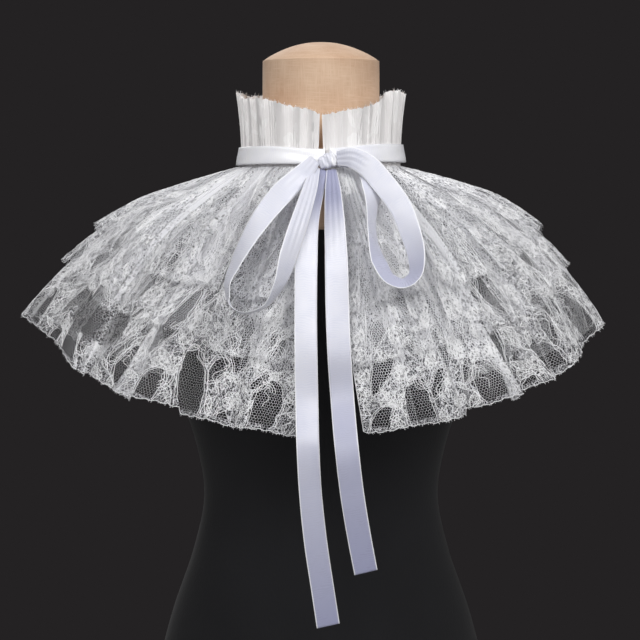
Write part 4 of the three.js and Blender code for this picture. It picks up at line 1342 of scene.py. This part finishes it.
knot_back = -(NECKLINE["half_depth"] + RING_OUT + RIBBON["thickness"] + SEAM)
turn = np.linspace(0, 2 * np.pi, KNOT["columns"] + 1)[:, None]
side = np.linspace(-1, 1, KNOT["rows"] + 1)[None, :]
ends = np.maximum(1 - np.abs(side) ** 5, 0) ** 0.5
swell = ends * (0.86 + 0.14 * side)
creases = 1 - 0.07 * np.cos(9 * side + 2.2 * np.sin(turn + 0.5)) - 0.04 * np.cos(21 * side - 2 * turn)
squared = (np.abs(np.cos(turn)) ** 3 + np.abs(np.sin(turn)) ** 3) ** (-1 / 3)
ahead = KNOT["depth"] / 2 * swell * creases * squared * np.cos(turn)
rise = KNOT["height"] / 2 * swell * creases * squared * np.sin(turn)
tilt = math.radians(KNOT["tilt"])
across = KNOT["width"] / 2 * side + 0 * turn
knot_places = np.stack(
    [
        KNOT["x"] + across * math.cos(tilt) - rise * math.sin(tilt),
        knot_back - KNOT["depth"] / 2 - ahead,
        KNOT["z"] + across * math.sin(tilt) + rise * math.cos(tilt),
    ],
    axis=-1,
)
knot = grid_piece("satin_bow_knot", knot_places, satin, closed=True)[0]
places_now = np.empty(len(knot.data.vertices) * 3)
knot.data.vertices.foreach_get("co", places_now)
store(knot, "ribbon", places_now.reshape(-1, 3)[:, [2, 0, 1]] / MM * (1, 1, 0))
dress(knot, "satin_ribbon", "bow_knot")

# %% [markdown]
# ## The dress form
#
# A limbless form carries the collar: a neck covered in tan linen with a domed cap, and a body in
# black jersey, cut off flat at the hip. Its solids have flat facets, so both are drawn again here
# as smooth skins over the same rings.

# %% The form's tables
NECK_FORM = [
    (720.3, 14, 13), (717.4, 27, 25.5), (713, 39, 37), (707.5, 50, 47.5), (702.5, 57, 54),
    (697, 58, 55), (650, 58.3, 55.5), (628, 60, 57), (612, 64.5, 61), (602, 70, 66),
]
CAP_TOP = 721.3
BODY_FORM = [
    (500, 174, 115, 98), (468, 163, 123, 97), (428, 157, 127, 94), (378, 143, 116, 89),
    (322, 125, 98, 85), (270, 117, 91, 86), (215, 128, 98, 97), (150, 150, 109, 114),
    (80, 166, 115, 123), (0, 171, 116, 124),
]
YOKE = {"side": 112, "front": 80, "clear_seam": 0.6, "clear_end": 7, "tip_out": 6}
SCOOP = {"least": 8, "front": 66, "power": 4}
FORM_CORE = 560
form_degrees = np.linspace(0, 360, 145)


def yoke_reach(degrees):
    return mix(YOKE["front"], YOKE["side"], np.sin(np.radians(degrees)) ** 2)


def scoop_down(degrees):
    front = np.maximum(0, np.cos(np.radians(degrees)))
    return SCOOP["least"] + (SCOOP["front"] - SCOOP["least"]) * front ** SCOOP["power"]


def yoke_ring(down):
    """A ring of the shoulders, a little under the cape that rests on them."""
    point, normal = cape_base(form_degrees, down)
    clear = mix(YOKE["clear_seam"], YOKE["clear_end"], down / yoke_reach(form_degrees))
    return point - normal * clear[:, None]


def level_ring(z, half_width, half_depth):
    ring = outward(form_degrees) * ellipse_radius(half_width, half_depth, form_degrees)[:, None]
    ring[:, 2] = z
    return ring


def smooth_rings(rings, per_span):
    """Rings laid smoothly between the given ones."""
    ends = [2 * rings[0] - rings[1], *rings, 2 * rings[-1] - rings[-2]]
    made = []
    for k in range(len(rings) - 1):
        a, b, c, d = ends[k : k + 4]
        for t in np.arange(per_span) / per_span:
            square = (2 * a - 5 * b + 4 * c - d) * t**2
            cubic = (3 * b - a - 3 * c + d) * t**3
            made.append(0.5 * (2 * b + (c - a) * t + square + cubic))
    return [*made, rings[-1]]


def skin(name, rings, material, slot, node_name):
    """A closed skin over rings that run from its top to its foot."""
    places = np.stack(rings[::-1], axis=1)
    piece = grid_piece(name, places, material, closed=True)[0]
    dress(piece, slot, node_name)
    print(piece.name, triangles_of(piece), "triangles")


# %% [markdown]
# ## Linen and jersey
#
# Form makers stretch a plain linen over the neck: a tan thread with slubs, woven about 0.6 mm
# apart and drawn at 1 mm here so that it shows. The body's black cotton jersey is matt, and only
# its fine wales break the surface.

# %% Linen and jersey materials
LINEN_WEAVE = 950.0  # threads to the metre
JERSEY_WALES = 620.0


def linen_material():
    material, tree = new_material("tan_plain_woven_linen")
    place = node(tree, "TexCoord").outputs["Object"]
    threads = []
    for stretch in ((1.0, 1.0, 0.06), (0.06, 0.06, 1.0)):
        turned = node(tree, "VectorMath", {0: place, 1: stretch}, operation="MULTIPLY")
        drawn = node(tree, "TexNoise", {"Vector": turned, "Scale": LINEN_WEAVE, "Detail": 2.0})
        threads.append(drawn.outputs["Fac"])
    crossed = node(tree, "Math", {0: threads[0], 1: threads[1]}, operation="MAXIMUM")
    slubs = node(tree, "TexNoise", {"Vector": place, "Scale": 28.0, "Detail": 4.0}).outputs["Fac"]
    worn = node(tree, "Math", {0: crossed, 1: 0.75, 2: slubs}, operation="MULTIPLY_ADD")
    share = node(tree, "MapRange", {0: worn, 1: 0.65, 2: 1.15, 3: 0.0, 4: 1.0})
    shade = node(tree, "Mix", {0: share, 6: srgb("c29e82"), 7: srgb("d8bba1")}, data_type="RGBA")
    raised = node(tree, "Bump", {"Height": crossed, "Strength": 0.35, "Distance": 0.0004})
    shade_by(tree, {
        "Base Color": shade.outputs[2], "Normal": raised,
        "Roughness": 0.85, "Specular IOR Level": 0.3, "Sheen Weight": 0.1,
    })
    return material


def jersey_material():
    material, tree = new_material("black_cotton_jersey")
    place = node(tree, "TexCoord").outputs["Object"]
    wales = node(tree, "VectorMath", {0: place, 1: (1.0, 1.0, 0.25)}, operation="MULTIPLY")
    knit = node(tree, "TexVoronoi", {"Vector": wales, "Scale": JERSEY_WALES}).outputs["Distance"]
    soft = node(tree, "TexNoise", {"Vector": place, "Scale": 9.0, "Detail": 3.0}).outputs["Fac"]
    shade = node(tree, "Mix", {0: soft, 6: srgb("121214"), 7: srgb("1c1c1f")}, data_type="RGBA")
    raised = node(tree, "Bump", {"Height": knit, "Strength": 0.3, "Distance": 0.0005})
    shade_by(tree, {
        "Base Color": shade.outputs[2], "Normal": raised,
        "Roughness": 0.92, "Specular IOR Level": 0.25, "Sheen Weight": 0.05,
    })
    return material


linen = linen_material()
jersey = jersey_material()

# %% Cover the form
cap = [level_ring(CAP_TOP, 0.01, 0.01), *(level_ring(*row) for row in NECK_FORM)]
neck_rings = smooth_rings(cap, 6)
scoop = scoop_down(form_degrees)
neck_rings += [yoke_ring(share * scoop) for share in np.linspace(0, 1, 12)]
core = np.zeros((len(form_degrees), 3))
core[:, 2] = FORM_CORE
neck_rings.append(core)
skin("linen_form_neck", neck_rings, linen, "linen", "form_neck")

reach = yoke_reach(form_degrees)
shoulders = [yoke_ring(mix(scoop, reach, share)) for share in np.linspace(0, 1, 16)]
lower = []
way = outward(form_degrees)
for z, half_width, front, back in BODY_FORM:
    half_depth = np.where(way[:, 1] < 0, front, back)
    lower.append(np.stack([half_width * way[:, 0], half_depth * way[:, 1], 0 * reach + z], axis=1))
shoulder_end = mix(shoulders[-1], lower[0], 0.5)
shoulder_end += way * (YOKE["tip_out"] * np.sin(np.radians(form_degrees)) ** 2)[:, None]
body_rings = [core - (0, 0, 0.4), *shoulders[:-1], *smooth_rings([shoulders[-1], shoulder_end, *lower], 6)]
body_rings.append(core * 0)
skin("jersey_form_body", body_rings, jersey, "form_cover", "form_body")

# %% [markdown]
# ## Floor, backdrop light and lamps
#
# A pale round floor stands for the table. The world is a dark neutral grey, because white lace
# only shows its holes against something darker than itself. Three large soft lamps in front give
# even light. One above and one behind pick out the hems and the rim of the frill.

# %% Floor and light
FLOOR_RADIUS = 560


def floor_disc():
    bm = bmesh.new()
    bmesh.ops.create_circle(bm, cap_ends=True, segments=96, radius=FLOOR_RADIUS * MM)
    bmesh.ops.translate(bm, verts=bm.verts, vec=(0, 0, -0.0002))
    mesh = bpy.data.meshes.new("floor")
    bm.to_mesh(mesh)
    bm.free()
    material, tree = new_material("pale_matt_board")
    shade_by(tree, {"Base Color": srgb("d9d8d6"), "Roughness": 0.9})
    mesh.materials.append(material)
    disc = bpy.data.objects.new("floor", mesh)
    bpy.context.collection.objects.link(disc)
    return disc


floor_disc()

world = bpy.data.worlds.new("backdrop")
world.use_nodes = True
world.node_tree.nodes["Background"].inputs[0].default_value = srgb("242223")
world.node_tree.nodes["Background"].inputs[1].default_value = 1.0
bpy.context.scene.world = world
bpy.context.scene.view_settings.view_transform = "Standard"

from mathutils import Vector

LAMPS = [
    # name, place in metres, size in metres, watts
    ("key", (-0.95, -1.4, 1.7), 1.3, 21.5),
    ("fill", (1.3, -1.15, 1.55), 1.3, 22.5),
    ("front", (0.0, -2.3, 1.15), 1.8, 15),
    ("above", (0.1, 0.3, 2.4), 1.4, 5),
    ("behind", (-0.6, 2.0, 1.9), 1.2, 26),
]
LAMP_TARGET = (0, 0, 0.45)
for name, place, size, watts in LAMPS:
    lamp = bpy.data.lights.new(name, "AREA")
    lamp.shape = "DISK"
    lamp.size = size
    lamp.energy = watts
    holder = bpy.data.objects.new(name, lamp)
    holder.location = place
    aim = Vector(LAMP_TARGET) - Vector(place)
    holder.rotation_euler = aim.to_track_quat("-Z", "Y").to_euler()
    bpy.context.collection.objects.link(holder)
